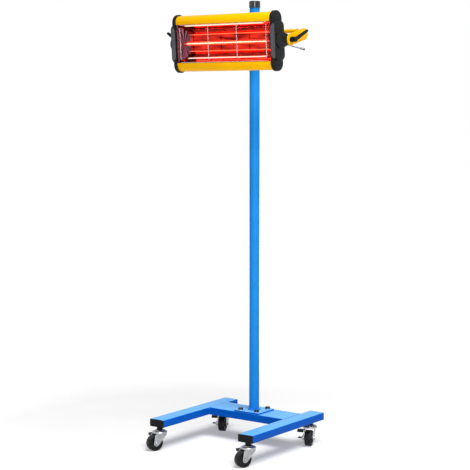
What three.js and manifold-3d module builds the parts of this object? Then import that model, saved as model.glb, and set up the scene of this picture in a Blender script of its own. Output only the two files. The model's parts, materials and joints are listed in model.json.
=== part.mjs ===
// Infrared paint curing lamp on a wheeled stand. Millimetres, +Z up.
// The lamp faces -Y. The origin is on the floor, in the middle of the footprint.
import * as THREE from 'three';
import { mergeVertices } from 'three/addons/utils/BufferGeometryUtils.js';
import Module from 'manifold-3d';

// Fits between pieces
const seatGap = 0.3; // between pieces that rest on or in each other
const runGap = 0.4; // round a pin, stem or pole that a piece turns or slides on
const overrun = 1; // how far every cut runs past the piece it cuts

// Stand: two rectangular tube legs and a channel across them
const legLength = 367;
const legWidth = 50;
const legHeight = 22;
const legWall = 2;
const legCorner = 2;
const legGap = 268; // clear width between the legs
const legBehindPole = 100; // from the pole's axis to the legs' rear ends
const channelDepth = 94;
const channelWall = 3;
const channelBehindPole = 3.5; // from the pole's axis back to the channel's centre line

// Plugs in the legs' ends
const plugFlange = 3;
const plugDepth = 9;
const plugWall = 2;

// Foot plate, its bolts and the pole
const footWidth = 92;
const footDepth = 84;
const footThickness = 4;
const footCorner = 5;
const footWeld = 4; // leg of the weld bead round the pole
const boltPitch = 58;
const boltDiameter = 8;
const boltHeadAcross = 13;
const boltHeadHeight = 5.3;
const washerDiameter = 16;
const washerThickness = 1.6;
const nutHeight = 6.5;
const poleDiameter = 30;
const poleWall = 1.5;
const poleLength = 1206;
const poleCapWall = 1.2;
const poleCapSkirt = 16;
const poleCapDome = 2.8;

// Casters
const casterHeight = 70; // floor to the leg's underside
const casterTrail = 17; // stem's axis to axle
const frontStemInset = 15; // leg's front end to the front stems' axes
const rearStemInset = 38; // leg's rear end to the rear stems' axes
const frontSwivel = THREE.MathUtils.degToRad(-113.8); // direction in which the front wheels trail
const rearSwivel = THREE.MathUtils.degToRad(-66.8); // direction in which the rear wheels trail
const wheelDiameter = 47; // across the flats of its facets
const wheelWidth = 20;
const wheelRim = 5; // depth of the rubber round the wheel's web
const wheelWebRecess = 3.2;
const wheelHubDiameter = 17;
const wheelEdge = 2.2; // chamfer on the tread's edges
const wheelFacets = 20;
const stemDiameter = 10;
const stemNutAcross = 17;
const stemNutHeight = 8;
const stemSpacerHeight = 10;
const swivelCupDiameter = 30;
const swivelCupHeight = 2.7;
const stemRivetDiameter = 17;
const stemRivetHeight = 2.6;
const forkSheet = 2.2;
const forkSideClearance = 2.5; // from the wheel's side to a cheek
const forkHeadDiameter = 44;
const forkHeadDrop = 5; // height of the head's rolled skirt
const forkHeadRoll = 2.5; // size of the roll between the head's top and skirt
const forkShoulder = 15.5; // half the cheek's width at the head
const forkNeckDrop = 10; // where the leading edge starts to taper
const forkEye = 8.5; // radius of the cheek round the axle
const forkEyeStart = THREE.MathUtils.degToRad(220); // where the leading edge meets the eye
const axleDiameter = 6;
const axleHeadAcross = 10;
const axleHeadHeight = 4;
const brakeSheet = 1.8;
const brakeEye = 7;
const brakeEyeStart = THREE.MathUtils.degToRad(225); // the plate's round edge, from here
const brakeEyeEnd = THREE.MathUtils.degToRad(378); // to here
const brakeTabReach = 18;
const brakeUpperTabRise = 23.5; // axle to the upper foot tab
const brakeUpperTabWidth = 16;
const brakeUpperTabBack = 5; // from the axle back towards the stem to the tab's middle
const brakeLowerTabDrop = 5;
const brakeLowerTabBack = 15;
const brakeLowerTabWidth = 10;
const brakeTabThickness = 2.4;

// Clamp collar on the pole, with its bolt and rod lever
const collarHeight = 22;
const collarDiameter = 44;
const collarDrop = 93; // from the pole's top end down to the collar's top
const collarTurn = THREE.MathUtils.degToRad(36); // direction of the ears, from +X
const collarEarReach = 15;
const collarEarWidth = 20; // across both ears
const collarSlot = 3;
const collarBoltHeadHeight = 5;
const leverHubDiameter = 15;
const leverHubLength = 12;
const leverRodDiameter = 4.4;
const leverRodLength = 121;
const leverRodTilt = THREE.MathUtils.degToRad(16); // how far the rod hangs below level
const leverGripDiameter = 6.4;
const leverGripLength = 15;

// Yoke that carries the lamp head
const sleeveHeight = 37;
const sleeveDiameter = 40;
const gussetThickness = 4;
const gussetPitch = 24;
const gussetHeight = 28;
const gussetRise = 2; // from the sleeve's lower end to the gussets
const gussetNose = 9; // radius of the gussets round the bar
const gussetSlope = THREE.MathUtils.degToRad(17); // fall of their upper edges to the nose
const barDiameter = 11;
const barForward = 55; // from the pole's axis to the bar's axis
const barSeat = 2.2; // from the sleeve's lower end up to the bar's axis
const barRise = 25.5; // from the tilt axis to the bar's axis
const armThickness = 3;
const armEnd = 16.5; // radius of the arms' round ends
const armBack = 69; // from the tilt axis to the rear end's centre, along Y
const armRise = 18; // the same, along Z
const tiltForward = 92; // from the pole's axis to the tilt axis

// Clamping levers on the tilt axis
const clampStudDiameter = 8;
const clampHubDiameter = 15;
const clampHubLength = 18;
const clampCapHeight = 2.5; // of the hub's domed end
const clampArmLength = 60;
const clampArmRoot = 11; // width of the lever arm at the hub
const clampArmTip = 7.5;
const clampArmThickness = 6;
const clampArmCant = 5; // how far the tip stands outwards of the root
const leftLeverLift = THREE.MathUtils.degToRad(152); // direction of the left lever, from +Y up
const rightLeverLift = THREE.MathUtils.degToRad(27);

// Lamp head
const headLength = 338; // between the end caps' inner floors
const headDepth = 46;
const headHeight = 168;
const headForward = 138; // from the pole's axis to the head's centre line, before it is tilted
const headDrop = 1.8; // the head's centre line below the tilt axis, before it is tilted
const headTilt = THREE.MathUtils.degToRad(4); // how far the lamp looks down
const housingInset = 3.5; // step from the end cap's outline in to the housing's
const housingWall = 2;
const openingMargin = 29; // from the head's upper or lower end to the opening
const lipDepth = 4; // return of the housing's front wall at the opening
const capThickness = 9;
const capRim = 3; // how far a cap reaches over the housing's end
const padThickness = 7;
const padHeight = 114;
const padCorner = 14;
const padEdge = 2.5; // bevel round the pad's face
const capEdge = 3; // bevel round the cap's face
const hubBossDiameter = 43;
const hubBossThickness = 4;
const lugRoot = 52; // height of the pivot lug where it leaves the cap
const lugEye = 13; // radius of the lug round the pivot
const lugSpread = THREE.MathUtils.degToRad(45); // half the eye's round edge
const lugThickness = 12;
const armClearance = 0.5; // between the lug and the yoke's arm

// Heater
const reflectorSheet = 1;
const reflectorDepth = 29;
const reflectorCorner = 20; // radius of its two rear corners
const reflectorSet = 6; // from the head's front to the reflector's edge
const reflectorEndInset = 4; // from the cap to the front edge of a slanted end plate
const quartzDiameter = 10;
const quartzWall = 1.2;
const quartzInset = 5; // from an end cap's floor to the tube's end
const quartzSet = 21; // from the head's front to the quartz tube's axis
const filamentDiameter = 2;
const leadBore = 2.6; // bore for a lead in a holder or terminal
const holderSize = 13;
const holderLength = 9.5;
const terminalLength = 34;
const terminalDepth = 13;
const terminalHeight = 12;

// Wire guard over the opening
const guardWire = 2.4;
const guardPitch = 101; // between upright wires
const guardUprights = 4;

// Cable gland in the housing's back, left open
const glandDiameter = 17;
const glandLength = 13;
const glandBore = 7;
const glandAside = 60; // from the head's middle
const glandMargin = 46; // from the head's lower end up to the gland's axis
const glandThread = 12;
const glandNut = 2.5; // thickness of its nut inside the housing

// Facets of round forms, and curve steps in each arc of an outline; a step makes two facets
const roundFacets = 20;
const smallFacets = 12;
const wireFacets = 6;
const hexFacets = 6;
const cornerSteps = 1;
const quarterSteps = 3;
const halfSteps = 6;

// Places that several pieces share
const legTop = casterHeight + legHeight;
const legFront = legBehindPole - legLength;
const legMiddle = (legGap + legWidth) / 2;
const poleFoot = legTop + footThickness;
const poleTop = poleFoot + poleLength;
const collarTop = poleTop - collarDrop;
const sleeveLow = collarTop + seatGap;
const barHeight = sleeveLow + barSeat;
const tiltHeight = barHeight - barRise;
const headHalf = headLength / 2;
const openingHeight = headHeight - 2 * openingMargin;
const glandDrop = headHeight / 2 - glandMargin;
const quartzHalf = headHalf - quartzInset;
const capFace = headHalf + capThickness;
const lugFace = capFace + padThickness + armClearance * 2;
const armInner = lugFace + armClearance;
const armOuter = armInner + armThickness;
const poleRadius = poleDiameter / 2;
const axleDrop = casterHeight - wheelDiameter / 2;
const forkTop = -(stemSpacerHeight + swivelCupHeight + seatGap);
const cheekInner = wheelWidth / 2 + forkSideClearance;
const cheekOuter = cheekInner + forkSheet;

const wasm = await Module();
wasm.setup();

// Solids: closed geometries are joined and cut as manifolds

function toSolid(geometry) {
  const bare = geometry.clone();
  bare.deleteAttribute('normal');
  bare.deleteAttribute('uv');
  const merged = mergeVertices(bare);
  return new wasm.Manifold(new wasm.Mesh({
    numProp: 3,
    vertProperties: new Float32Array(merged.attributes.position.array),
    triVerts: new Uint32Array(merged.index.array),
  }));
}

function toGeometry(solid) {
  const mesh = solid.getMesh();
  const geometry = new THREE.BufferGeometry();
  geometry.setAttribute('position', new THREE.BufferAttribute(new Float32Array(mesh.vertProperties), 3));
  geometry.setIndex(new THREE.BufferAttribute(new Uint32Array(mesh.triVerts), 1));
  return geometry;
}

function join(first, ...others) {
  return toGeometry(others.reduce((sum, next) => sum.add(toSolid(next)), toSolid(first)));
}

function cut(body, ...tools) {
  return toGeometry(tools.reduce((rest, tool) => rest.subtract(toSolid(tool)), toSolid(body)));
}

function common(a, b) {
  return toGeometry(toSolid(a).intersect(toSolid(b)));
}

// Building blocks

function block(x0, x1, y0, y1, z0, z1) {
  const geometry = new THREE.BoxGeometry(x1 - x0, y1 - y0, z1 - z0);
  return geometry.translate((x0 + x1) / 2, (y0 + y1) / 2, (z0 + z1) / 2);
}

function prism(shape, length, steps = quarterSteps) {
  return new THREE.ExtrudeGeometry(shape, { depth: length, bevelEnabled: false, curveSegments: steps });
}

// A shape drawn in Y and Z, run along X from x0 to x1
function prismX(shape, x0, x1, steps) {
  const turn = new THREE.Matrix4().makeBasis(
    new THREE.Vector3(0, 1, 0), new THREE.Vector3(0, 0, 1), new THREE.Vector3(1, 0, 0));
  return prism(shape, x1 - x0, steps).applyMatrix4(turn).translate(x0, 0, 0);
}

// The same with a bevel round the end at x1
function bevelX(width, height, radius, x0, x1, edge) {
  const shape = roundedRectangle(width - 2 * edge, height - 2 * edge, radius - edge);
  const blank = new THREE.ExtrudeGeometry(shape, {
    depth: x1 - x0, bevelThickness: edge, bevelSize: edge, bevelSegments: 1, curveSegments: quarterSteps,
  });
  const turn = new THREE.Matrix4().makeBasis(
    new THREE.Vector3(0, 1, 0), new THREE.Vector3(0, 0, 1), new THREE.Vector3(1, 0, 0));
  const bar = blank.applyMatrix4(turn).translate(x0 - edge, 0, 0);
  return cut(bar, block(x0 - 2 * edge, x0, -width, width, -height, height));
}

// A shape drawn in X and Z, run along Y from y0 to y1
function prismY(shape, y0, y1, steps) {
  return prism(shape, y1 - y0, steps).rotateX(Math.PI / 2).translate(0, y1, 0);
}

// A shape drawn in X and Y, run along Z from z0 to z1
function prismZ(shape, z0, z1, steps) {
  return prism(shape, z1 - z0, steps).translate(0, 0, z0);
}

function rodX(radius, x0, x1, facets = roundFacets) {
  return new THREE.CylinderGeometry(radius, radius, x1 - x0, facets).rotateZ(Math.PI / 2)
    .translate((x0 + x1) / 2, 0, 0);
}

function rodY(radius, y0, y1, facets = roundFacets) {
  return new THREE.CylinderGeometry(radius, radius, y1 - y0, facets).translate(0, (y0 + y1) / 2, 0);
}

function rodZ(radius, z0, z1, facets = roundFacets) {
  return new THREE.CylinderGeometry(radius, radius, z1 - z0, facets).rotateX(Math.PI / 2)
    .translate(0, 0, (z0 + z1) / 2);
}

// A profile of [radius, height] pairs turned round Z
function turned(profile, facets = roundFacets) {
  const points = profile.map(([radius, height]) => new THREE.Vector2(radius, height));
  return new THREE.LatheGeometry(points, facets).rotateX(Math.PI / 2);
}

function ring(inner, outer, z0, z1, facets = roundFacets) {
  return turned([[inner, z0], [outer, z0], [outer, z1], [inner, z1], [inner, z0]], facets);
}

// A flat dome with its foot sunk by a given depth below Z = 0
function dome(radius, height, sunk) {
  const profile = [[0, -sunk], [radius, -sunk]];
  for (let step = 0; step <= quarterSteps; step += 1) {
    const angle = step / quarterSteps * Math.PI / 2;
    profile.push([radius * Math.cos(angle), height * Math.sin(angle)]);
  }
  profile[profile.length - 1][0] = 0;
  return turned(profile);
}

function hexZ(across, z0, z1) {
  return rodZ(across / Math.sqrt(3), z0, z1, hexFacets);
}

function roundedRectangle(width, height, radius) {
  const w = width / 2;
  const h = height / 2;
  const shape = new THREE.Shape();
  shape.absarc(w - radius, h - radius, radius, 0, Math.PI / 2);
  shape.absarc(radius - w, h - radius, radius, Math.PI / 2, Math.PI);
  shape.absarc(radius - w, radius - h, radius, Math.PI, 3 * Math.PI / 2);
  shape.absarc(w - radius, radius - h, radius, 3 * Math.PI / 2, 2 * Math.PI);
  shape.closePath();
  return shape;
}

// Two equal circles joined by their tangents; the first is at the origin
function linkShape(radius, dx, dy) {
  const angle = Math.atan2(dy, dx);
  const shape = new THREE.Shape();
  shape.absarc(0, 0, radius, angle + Math.PI / 2, angle + 3 * Math.PI / 2);
  shape.absarc(dx, dy, radius, angle - Math.PI / 2, angle + Math.PI / 2);
  shape.closePath();
  return shape;
}

// Colours and finishes
const finishes = {
  blue: { color: 0x1668c8, roughness: 0.35, metalness: 0.1 },
  yellow: { color: 0xfbb800, roughness: 0.4, metalness: 0.1 },
  black: { color: 0x222428, roughness: 0.5, metalness: 0 },
  glossBlack: { color: 0x151618, roughness: 0.2, metalness: 0 },
  zinc: { color: 0xb9bcc0, roughness: 0.35, metalness: 0.8 },
  steel: { color: 0x9a9da2, roughness: 0.4, metalness: 0.8 },
  rubber: { color: 0x17181a, roughness: 0.7, metalness: 0 },
  mirror: { color: 0xe6e4e0, roughness: 0.1, metalness: 1 },
  chrome: { color: 0xd8d9dc, roughness: 0.15, metalness: 1 },
  quartz: { color: 0xc8202a, roughness: 0.1, metalness: 0 },
  glow: { color: 0xffc9a0, roughness: 0.5, metalness: 0 },
  ceramic: { color: 0xe9e4d8, roughness: 0.7, metalness: 0 },
};

const lamp = new THREE.Group();

function addPiece(parent, name, geometry, finish) {
  const mesh = new THREE.Mesh(geometry, new THREE.MeshStandardMaterial(finishes[finish]));
  mesh.name = name;
  parent.add(mesh);
}

// Stand

function legTube(stemPlaces) {
  const outline = roundedRectangle(legWidth, legHeight, legCorner);
  outline.holes.push(roundedRectangle(legWidth - 2 * legWall, legHeight - 2 * legWall, legCorner / 2));
  const tube = prismY(outline, legFront + plugFlange, legBehindPole - plugFlange, cornerSteps)
    .translate(0, 0, casterHeight + legHeight / 2);
  const holes = stemPlaces.map((y) => rodZ(stemDiameter / 2 + runGap, casterHeight - overrun,
    casterHeight + legWall + overrun, smallFacets).translate(0, y, 0));
  return cut(tube, ...holes);
}

// A leg plug, drawn with its flange at Y = 0 and its skirt towards +Y.
// The skirt's lower wall is slotted round the front caster's nut.
function legPlug() {
  const bore = 2 * (legWall + seatGap);
  const skirtWidth = legWidth - bore;
  const skirtHeight = legHeight - bore;
  const skirtEnd = plugFlange + plugDepth;
  const slot = stemNutAcross / 2 + plugWall;
  const flange = prismY(roundedRectangle(legWidth, legHeight, legCorner), 0, plugFlange, cornerSteps);
  const skirt = cut(
    prismY(roundedRectangle(skirtWidth, skirtHeight, legCorner / 2), 0, skirtEnd, cornerSteps),
    block(plugWall - skirtWidth / 2, skirtWidth / 2 - plugWall, plugFlange, skirtEnd + overrun,
      plugWall - skirtHeight / 2, skirtHeight / 2 - plugWall),
    block(-slot, slot, plugFlange, skirtEnd + overrun, -legHeight / 2, 0),
  );
  return join(flange, skirt);
}

function crossChannel(boltPlaces) {
  const low = casterHeight;
  const front = channelBehindPole - channelDepth / 2;
  const rear = channelBehindPole + channelDepth / 2;
  const side = legGap / 2;
  const holes = boltPlaces.map(([x, y]) => rodZ(boltDiameter / 2 + runGap, legTop - channelWall - overrun,
    legTop + overrun, smallFacets).translate(x, y, 0));
  return cut(
    block(-side, side, front, rear, low, legTop),
    block(-side - overrun, side + overrun, front + channelWall, rear - channelWall, low - overrun,
      legTop - channelWall),
    ...holes,
  );
}

// The plate under the pole, with the weld bead that holds the pole
function footPlate(boltPlaces) {
  const outline = roundedRectangle(footWidth, footDepth, footCorner);
  const plate = prismZ(outline, legTop, legTop + footThickness, cornerSteps);
  const top = legTop + footThickness;
  const inner = poleRadius + seatGap;
  const bead = turned([[inner, top - seatGap], [inner + footWeld, top - seatGap], [inner + footWeld, top],
    [inner, top + footWeld], [inner, top - seatGap]]);
  const holes = boltPlaces.map(([x, y]) => rodZ(boltDiameter / 2 + runGap, legTop - overrun,
    top + overrun, smallFacets).translate(x, y, 0));
  return cut(join(plate, bead), ...holes);
}

// A hexagon bolt with its washer above the foot plate and its nut under the channel's top
function footBolt() {
  const top = legTop + footThickness;
  const headFoot = top + washerThickness;
  const nutTop = legTop - channelWall;
  return join(
    rodZ(boltDiameter / 2, nutTop - nutHeight - boltDiameter / 2, headFoot + boltHeadHeight / 2, smallFacets),
    rodZ(washerDiameter / 2, top, headFoot, smallFacets),
    hexZ(boltHeadAcross, headFoot, headFoot + boltHeadHeight),
    hexZ(boltHeadAcross, nutTop - nutHeight, nutTop),
  );
}

function poleCap() {
  const inner = poleRadius + seatGap;
  const outer = inner + poleCapWall;
  const roof = poleTop + seatGap;
  return turned([
    [0, roof], [inner, roof], [inner, poleTop - poleCapSkirt], [outer, poleTop - poleCapSkirt],
    [outer, roof + poleCapWall], [outer - poleCapDome, roof + poleCapWall + poleCapDome],
    [0, roof + poleCapWall + poleCapDome],
  ]);
}

// Casters, drawn round the stem's axis with the leg's underside at Z = 0 and the trail along +X

function casterStem() {
  const r = stemDiameter / 2;
  const cupTop = -stemSpacerHeight;
  const rivetTop = forkTop - forkSheet - seatGap;
  return join(
    rodZ(r, rivetTop - stemRivetHeight / 2, legWall + stemNutHeight + stemDiameter / 4, smallFacets),
    hexZ(stemNutAcross, legWall, legWall + stemNutHeight),
    rodZ(stemNutAcross / 2, cupTop, 0, smallFacets),
    rodZ(swivelCupDiameter / 2, cupTop - swivelCupHeight, cupTop),
    rodZ(stemRivetDiameter / 2, rivetTop - stemRivetHeight, rivetTop, smallFacets),
  );
}

function cheekOutline() {
  const shape = new THREE.Shape();
  const top = forkTop - forkSheet / 2;
  shape.moveTo(-forkShoulder, top);
  shape.lineTo(-forkShoulder, top - forkNeckDrop);
  shape.absarc(casterTrail, -axleDrop, forkEye, forkEyeStart, 2 * Math.PI);
  shape.lineTo(casterTrail + forkEye / 2, forkTop - forkHeadDrop * 2);
  shape.lineTo(forkShoulder, forkTop - forkHeadDrop);
  shape.lineTo(forkShoulder, top);
  shape.closePath();
  return shape;
}

function casterFork() {
  const r = forkHeadDiameter / 2;
  const low = forkTop - forkHeadDrop;
  const bore = stemDiameter / 2 + runGap;
  const inner = r - forkSheet;
  const head = turned([
    [bore, forkTop], [bore, forkTop - forkSheet],
    [r - forkHeadRoll - forkSheet / 2, forkTop - forkSheet],
    [inner, forkTop - forkHeadRoll - forkSheet / 2],
    [inner, low], [r, low], [r, forkTop - forkHeadRoll], [r - forkHeadRoll, forkTop],
    [bore, forkTop],
  ]);
  const cheeks = [-1, 1].map((side) => {
    const y0 = side < 0 ? -cheekOuter : cheekInner;
    return prismY(cheekOutline(), y0, y0 + forkSheet);
  });
  const axleHole = rodY(axleDiameter / 2 + seatGap, -cheekOuter - overrun, cheekOuter + overrun, smallFacets)
    .translate(casterTrail, 0, -axleDrop);
  return cut(join(head, ...cheeks), axleHole);
}

function casterWheel() {
  const flats = Math.cos(Math.PI / wheelFacets);
  const tread = wheelDiameter / 2 / flats;
  const half = wheelWidth / 2;
  const hub = wheelHubDiameter / 2;
  const hubHalf = cheekInner - seatGap;
  const web = half - wheelWebRecess;
  const bore = axleDiameter / 2 + runGap;
  const rim = tread - wheelRim;
  const profile = [
    [bore, -hubHalf], [hub, -hubHalf], [hub, -web], [rim, -web],
    [rim + wheelEdge, -half], [tread - wheelEdge, -half], [tread, -half + wheelEdge],
    [tread, half - wheelEdge], [tread - wheelEdge, half], [rim + wheelEdge, half],
    [rim, web], [hub, web], [hub, hubHalf], [bore, hubHalf], [bore, -hubHalf],
  ];
  const points = profile.map(([radius, along]) => new THREE.Vector2(radius, along));
  return new THREE.LatheGeometry(points, wheelFacets, Math.PI / wheelFacets)
    .translate(casterTrail, 0, -axleDrop);
}

function casterAxle() {
  const headInner = cheekOuter + seatGap;
  const nutInner = cheekOuter + brakeSheet + 2 * seatGap;
  const rod = rodZ(axleDiameter / 2, -nutInner - axleHeadHeight, headInner + axleHeadHeight / 2, smallFacets);
  const head = hexZ(axleHeadAcross, headInner, headInner + axleHeadHeight);
  const nut = hexZ(axleHeadAcross, -nutInner - axleHeadHeight, -nutInner);
  return join(rod, head, nut).rotateX(-Math.PI / 2).translate(casterTrail, 0, -axleDrop);
}

// The side brake: a rocker plate on the axle with an upper and a lower foot tab
function casterBrake() {
  const inner = -(cheekOuter + seatGap);
  const outer = inner - brakeSheet;
  const upper = brakeUpperTabRise;
  const upperStart = -brakeUpperTabBack - brakeUpperTabWidth / 2;
  const upperEnd = upperStart + brakeUpperTabWidth;
  const lowerStart = -brakeLowerTabBack - brakeLowerTabWidth / 2;
  const lowerEnd = lowerStart + brakeLowerTabWidth;
  const arm = new THREE.Shape();
  arm.absarc(0, 0, brakeEye, brakeEyeStart, brakeEyeEnd);
  arm.lineTo(upperEnd, upper);
  arm.lineTo(upperStart, upper);
  arm.lineTo(-brakeEye - brakeLowerTabBack / 3, brakeEye / 2);
  arm.lineTo(lowerStart, brakeTabThickness - brakeLowerTabDrop);
  arm.lineTo(lowerStart, -brakeLowerTabDrop);
  arm.closePath();
  const plate = prismY(arm, outer, inner);
  const tabEnd = outer - brakeTabReach;
  const upperTab = block(upperStart, upperEnd, tabEnd, inner, upper - brakeTabThickness, upper);
  const lowerTab = block(lowerStart, lowerEnd, tabEnd, inner,
    -brakeLowerTabDrop, brakeTabThickness - brakeLowerTabDrop);
  const hole = rodY(axleDiameter / 2 + runGap, outer - overrun, inner + overrun, smallFacets);
  return cut(join(plate, upperTab, lowerTab), hole).translate(casterTrail, 0, -axleDrop);
}

function addCaster(place, x, y, swivel) {
  const caster = new THREE.Group();
  caster.position.set(x, y, casterHeight);
  caster.rotation.z = swivel;
  addPiece(caster, `caster_stem_${place}`, casterStem(), 'steel');
  addPiece(caster, `caster_fork_${place}`, casterFork(), 'zinc');
  addPiece(caster, `caster_wheel_${place}`, casterWheel(), 'rubber');
  addPiece(caster, `caster_axle_${place}`, casterAxle(), 'zinc');
  addPiece(caster, `caster_brake_${place}`, casterBrake(), 'zinc');
  lamp.add(caster);
}

function addStand() {
  const half = boltPitch / 2;
  const boltPlaces = [[-half, -half], [half, -half], [half, half], [-half, half]];
  const frontStem = legFront + frontStemInset;
  const rearStem = legBehindPole - rearStemInset;
  for (const [side, sign] of [['left', -1], ['right', 1]]) {
    const x = sign * legMiddle;
    addPiece(lamp, `leg_${side}`, legTube([frontStem, rearStem]).translate(x, 0, 0), 'blue');
    const plugHeight = casterHeight + legHeight / 2;
    addPiece(lamp, `leg_plug_front_${side}`, legPlug().translate(x, legFront, plugHeight), 'black');
    addPiece(lamp, `leg_plug_rear_${side}`, legPlug().rotateZ(Math.PI)
      .translate(x, legBehindPole, plugHeight), 'black');
    addCaster(`front_${side}`, x, frontStem, frontSwivel);
    addCaster(`rear_${side}`, x, rearStem, rearSwivel);
  }
  addPiece(lamp, 'cross_channel', crossChannel(boltPlaces), 'blue');
  addPiece(lamp, 'foot_plate', footPlate(boltPlaces), 'blue');
  boltPlaces.forEach(([x, y], i) => {
    addPiece(lamp, `foot_bolt_${i + 1}`, footBolt().translate(x, y, 0), 'steel');
  });
  addPiece(lamp, 'pole', ring(poleRadius - poleWall, poleRadius, poleFoot, poleTop), 'blue');
  addPiece(lamp, 'pole_cap', poleCap(), 'glossBlack');
}

// Height clamp: a split collar, the bolt through its ears and a rod lever

function addHeightClamp() {
  const bore = poleRadius + runGap;
  const outer = collarDiameter / 2;
  const low = collarTop - collarHeight;
  const boltOut = outer + collarEarReach - collarEarWidth / 3; // from the pole's axis
  const boltHeight = collarTop - collarHeight / 2;
  const earHalf = collarEarWidth / 2;
  const earEnd = outer + collarEarReach;
  const slotHalf = collarSlot / 2;
  const clamp = new THREE.Group();
  clamp.rotation.z = collarTurn;

  const ears = block(bore + poleWall, earEnd, -earHalf, earHalf, low, collarTop);
  const collar = cut(
    join(rodZ(outer, low, collarTop), ears),
    rodZ(bore, low - overrun, collarTop + overrun),
    block(0, earEnd + overrun, -slotHalf, slotHalf, low - overrun, collarTop + overrun),
    rodY(clampStudDiameter / 2 + seatGap, -earHalf - overrun, earHalf + overrun, smallFacets)
      .translate(boltOut, 0, boltHeight),
  );
  addPiece(clamp, 'height_collar', collar, 'black');

  const boltEnd = earHalf + seatGap;
  const headMiddle = boltEnd + collarBoltHeadHeight / 2;
  const shank = rodZ(clampStudDiameter / 2, -boltEnd - leverHubLength / 2, headMiddle, smallFacets);
  const head = hexZ(boltHeadAcross, boltEnd, boltEnd + collarBoltHeadHeight);
  const bolt = join(shank, head).rotateX(-Math.PI / 2).translate(boltOut, 0, boltHeight);
  addPiece(clamp, 'height_clamp_bolt', bolt, 'steel');

  const hubInner = -earHalf - seatGap;
  const boreEnd = hubInner - leverHubLength / 2 - runGap;
  const hub = cut(
    rodY(leverHubDiameter / 2, hubInner - leverHubLength, hubInner),
    rodY(clampStudDiameter / 2 + runGap, boreEnd, hubInner + overrun, smallFacets),
  );
  const rodMiddle = hubInner - leverHubLength + leverHubDiameter / 4;
  const rod = rodX(leverRodDiameter / 2, 0, leverRodLength, smallFacets).translate(0, rodMiddle, 0);
  const grip = rodX(leverGripDiameter / 2, leverRodLength - leverGripLength, leverRodLength, smallFacets)
    .translate(0, rodMiddle, 0);
  const lever = join(hub, rod, grip).rotateY(leverRodTilt).translate(boltOut, 0, boltHeight);
  addPiece(clamp, 'height_lever', lever, 'steel');
  lamp.add(clamp);
}

// Yoke: a sleeve on the pole, a cross bar through its gussets and two arms

// A cheek that runs from the sleeve out to a round nose on the cross bar
function gussetOutline() {
  const low = sleeveLow + gussetRise;
  const high = low + gussetHeight;
  const shape = new THREE.Shape();
  shape.moveTo(0, low);
  shape.lineTo(0, high);
  shape.lineTo(-sleeveDiameter / 2, high);
  shape.absarc(-barForward, barHeight, gussetNose, Math.PI / 2 - gussetSlope, 3 * Math.PI / 2);
  shape.lineTo(-sleeveDiameter / 2, low);
  shape.closePath();
  return shape;
}

function addYoke() {
  const bore = poleRadius + runGap;
  const sleeveTop = sleeveLow + sleeveHeight;
  const barHole = rodX(barDiameter / 2 + seatGap, -gussetPitch, gussetPitch)
    .translate(0, -barForward, barHeight);
  const outline = gussetOutline();
  const gussets = [-1, 1].map((side) => {
    const middle = side * gussetPitch / 2;
    return prismX(outline, middle - gussetThickness / 2, middle + gussetThickness / 2);
  });
  const sleeve = cut(
    join(rodZ(sleeveDiameter / 2, sleeveLow, sleeveTop), ...gussets),
    rodZ(bore, sleeveLow - overrun, sleeveTop + overrun),
    barHole,
  );
  addPiece(lamp, 'yoke_sleeve', sleeve, 'yellow');

  const bar = rodX(barDiameter / 2, -armInner, armInner).translate(0, -barForward, barHeight);
  addPiece(lamp, 'yoke_bar', bar, 'yellow');

  const hole = new THREE.Path();
  hole.absarc(0, 0, clampStudDiameter / 2 + runGap, 0, 2 * Math.PI);
  const link = linkShape(armEnd, armBack, armRise);
  link.holes.push(hole);
  for (const [side, x0] of [['left', -armOuter], ['right', armInner]]) {
    const arm = prismX(link, x0, x0 + armThickness, halfSteps).translate(0, -tiltForward, tiltHeight);
    addPiece(lamp, `yoke_arm_${side}`, arm, 'yellow');
  }
}

// A clamping lever, drawn on the tilt axis with its hub towards +X and its arm along +Y
function clampLever() {
  const hubStart = armOuter + seatGap;
  const hubEnd = hubStart + clampHubLength;
  const stud = rodX(clampStudDiameter / 2, lugFace - lugThickness, hubStart + overrun, smallFacets);
  const hub = rodX(clampHubDiameter / 2, hubStart, hubEnd);
  const cap = dome(clampHubDiameter / 2, clampCapHeight, seatGap)
    .rotateY(Math.PI / 2).translate(hubEnd, 0, 0);
  const outline = new THREE.Shape();
  outline.absarc(0, 0, clampArmRoot / 2, Math.PI / 2, 3 * Math.PI / 2);
  outline.absarc(clampArmLength - clampArmTip / 2, 0, clampArmTip / 2, -Math.PI / 2, Math.PI / 2);
  outline.closePath();
  const armStart = hubEnd - clampArmThickness;
  const arm = prismX(outline, armStart, hubEnd);
  const position = arm.attributes.position;
  for (let i = 0; i < position.count; i += 1) {
    const share = Math.max(0, position.getY(i)) / clampArmLength;
    position.setX(i, position.getX(i) + clampArmCant * share);
  }
  return join(stud, hub, cap, arm);
}

function addClampLevers() {
  const right = clampLever().rotateX(rightLeverLift).translate(0, -tiltForward, tiltHeight);
  addPiece(lamp, 'clamp_lever_right', right, 'black');
  const left = clampLever().rotateZ(Math.PI).rotateX(leftLeverLift + Math.PI)
    .translate(0, -tiltForward, tiltHeight);
  addPiece(lamp, 'clamp_lever_left', left, 'black');
}

// Lamp head, drawn round its centre line with the front towards -Y

function stadium(inset) {
  const depth = headDepth - 2 * inset;
  return roundedRectangle(depth, headHeight - 2 * inset, depth / 2);
}

// The slanted plane of an end plate: everything beyond it, grown by a gap
function beyondEnd(sign, gap) {
  const shape = new THREE.Shape();
  const front = reflectorSet - headDepth / 2;
  const start = headHalf - reflectorEndInset + gap * Math.SQRT2;
  shape.moveTo(sign * (start + headDepth), front - headDepth);
  shape.lineTo(sign * (start + headDepth), front + headDepth);
  shape.lineTo(sign * (start - headDepth), front + headDepth);
  shape.closePath();
  return prismZ(shape, -headHeight / 2, headHeight / 2);
}

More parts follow.
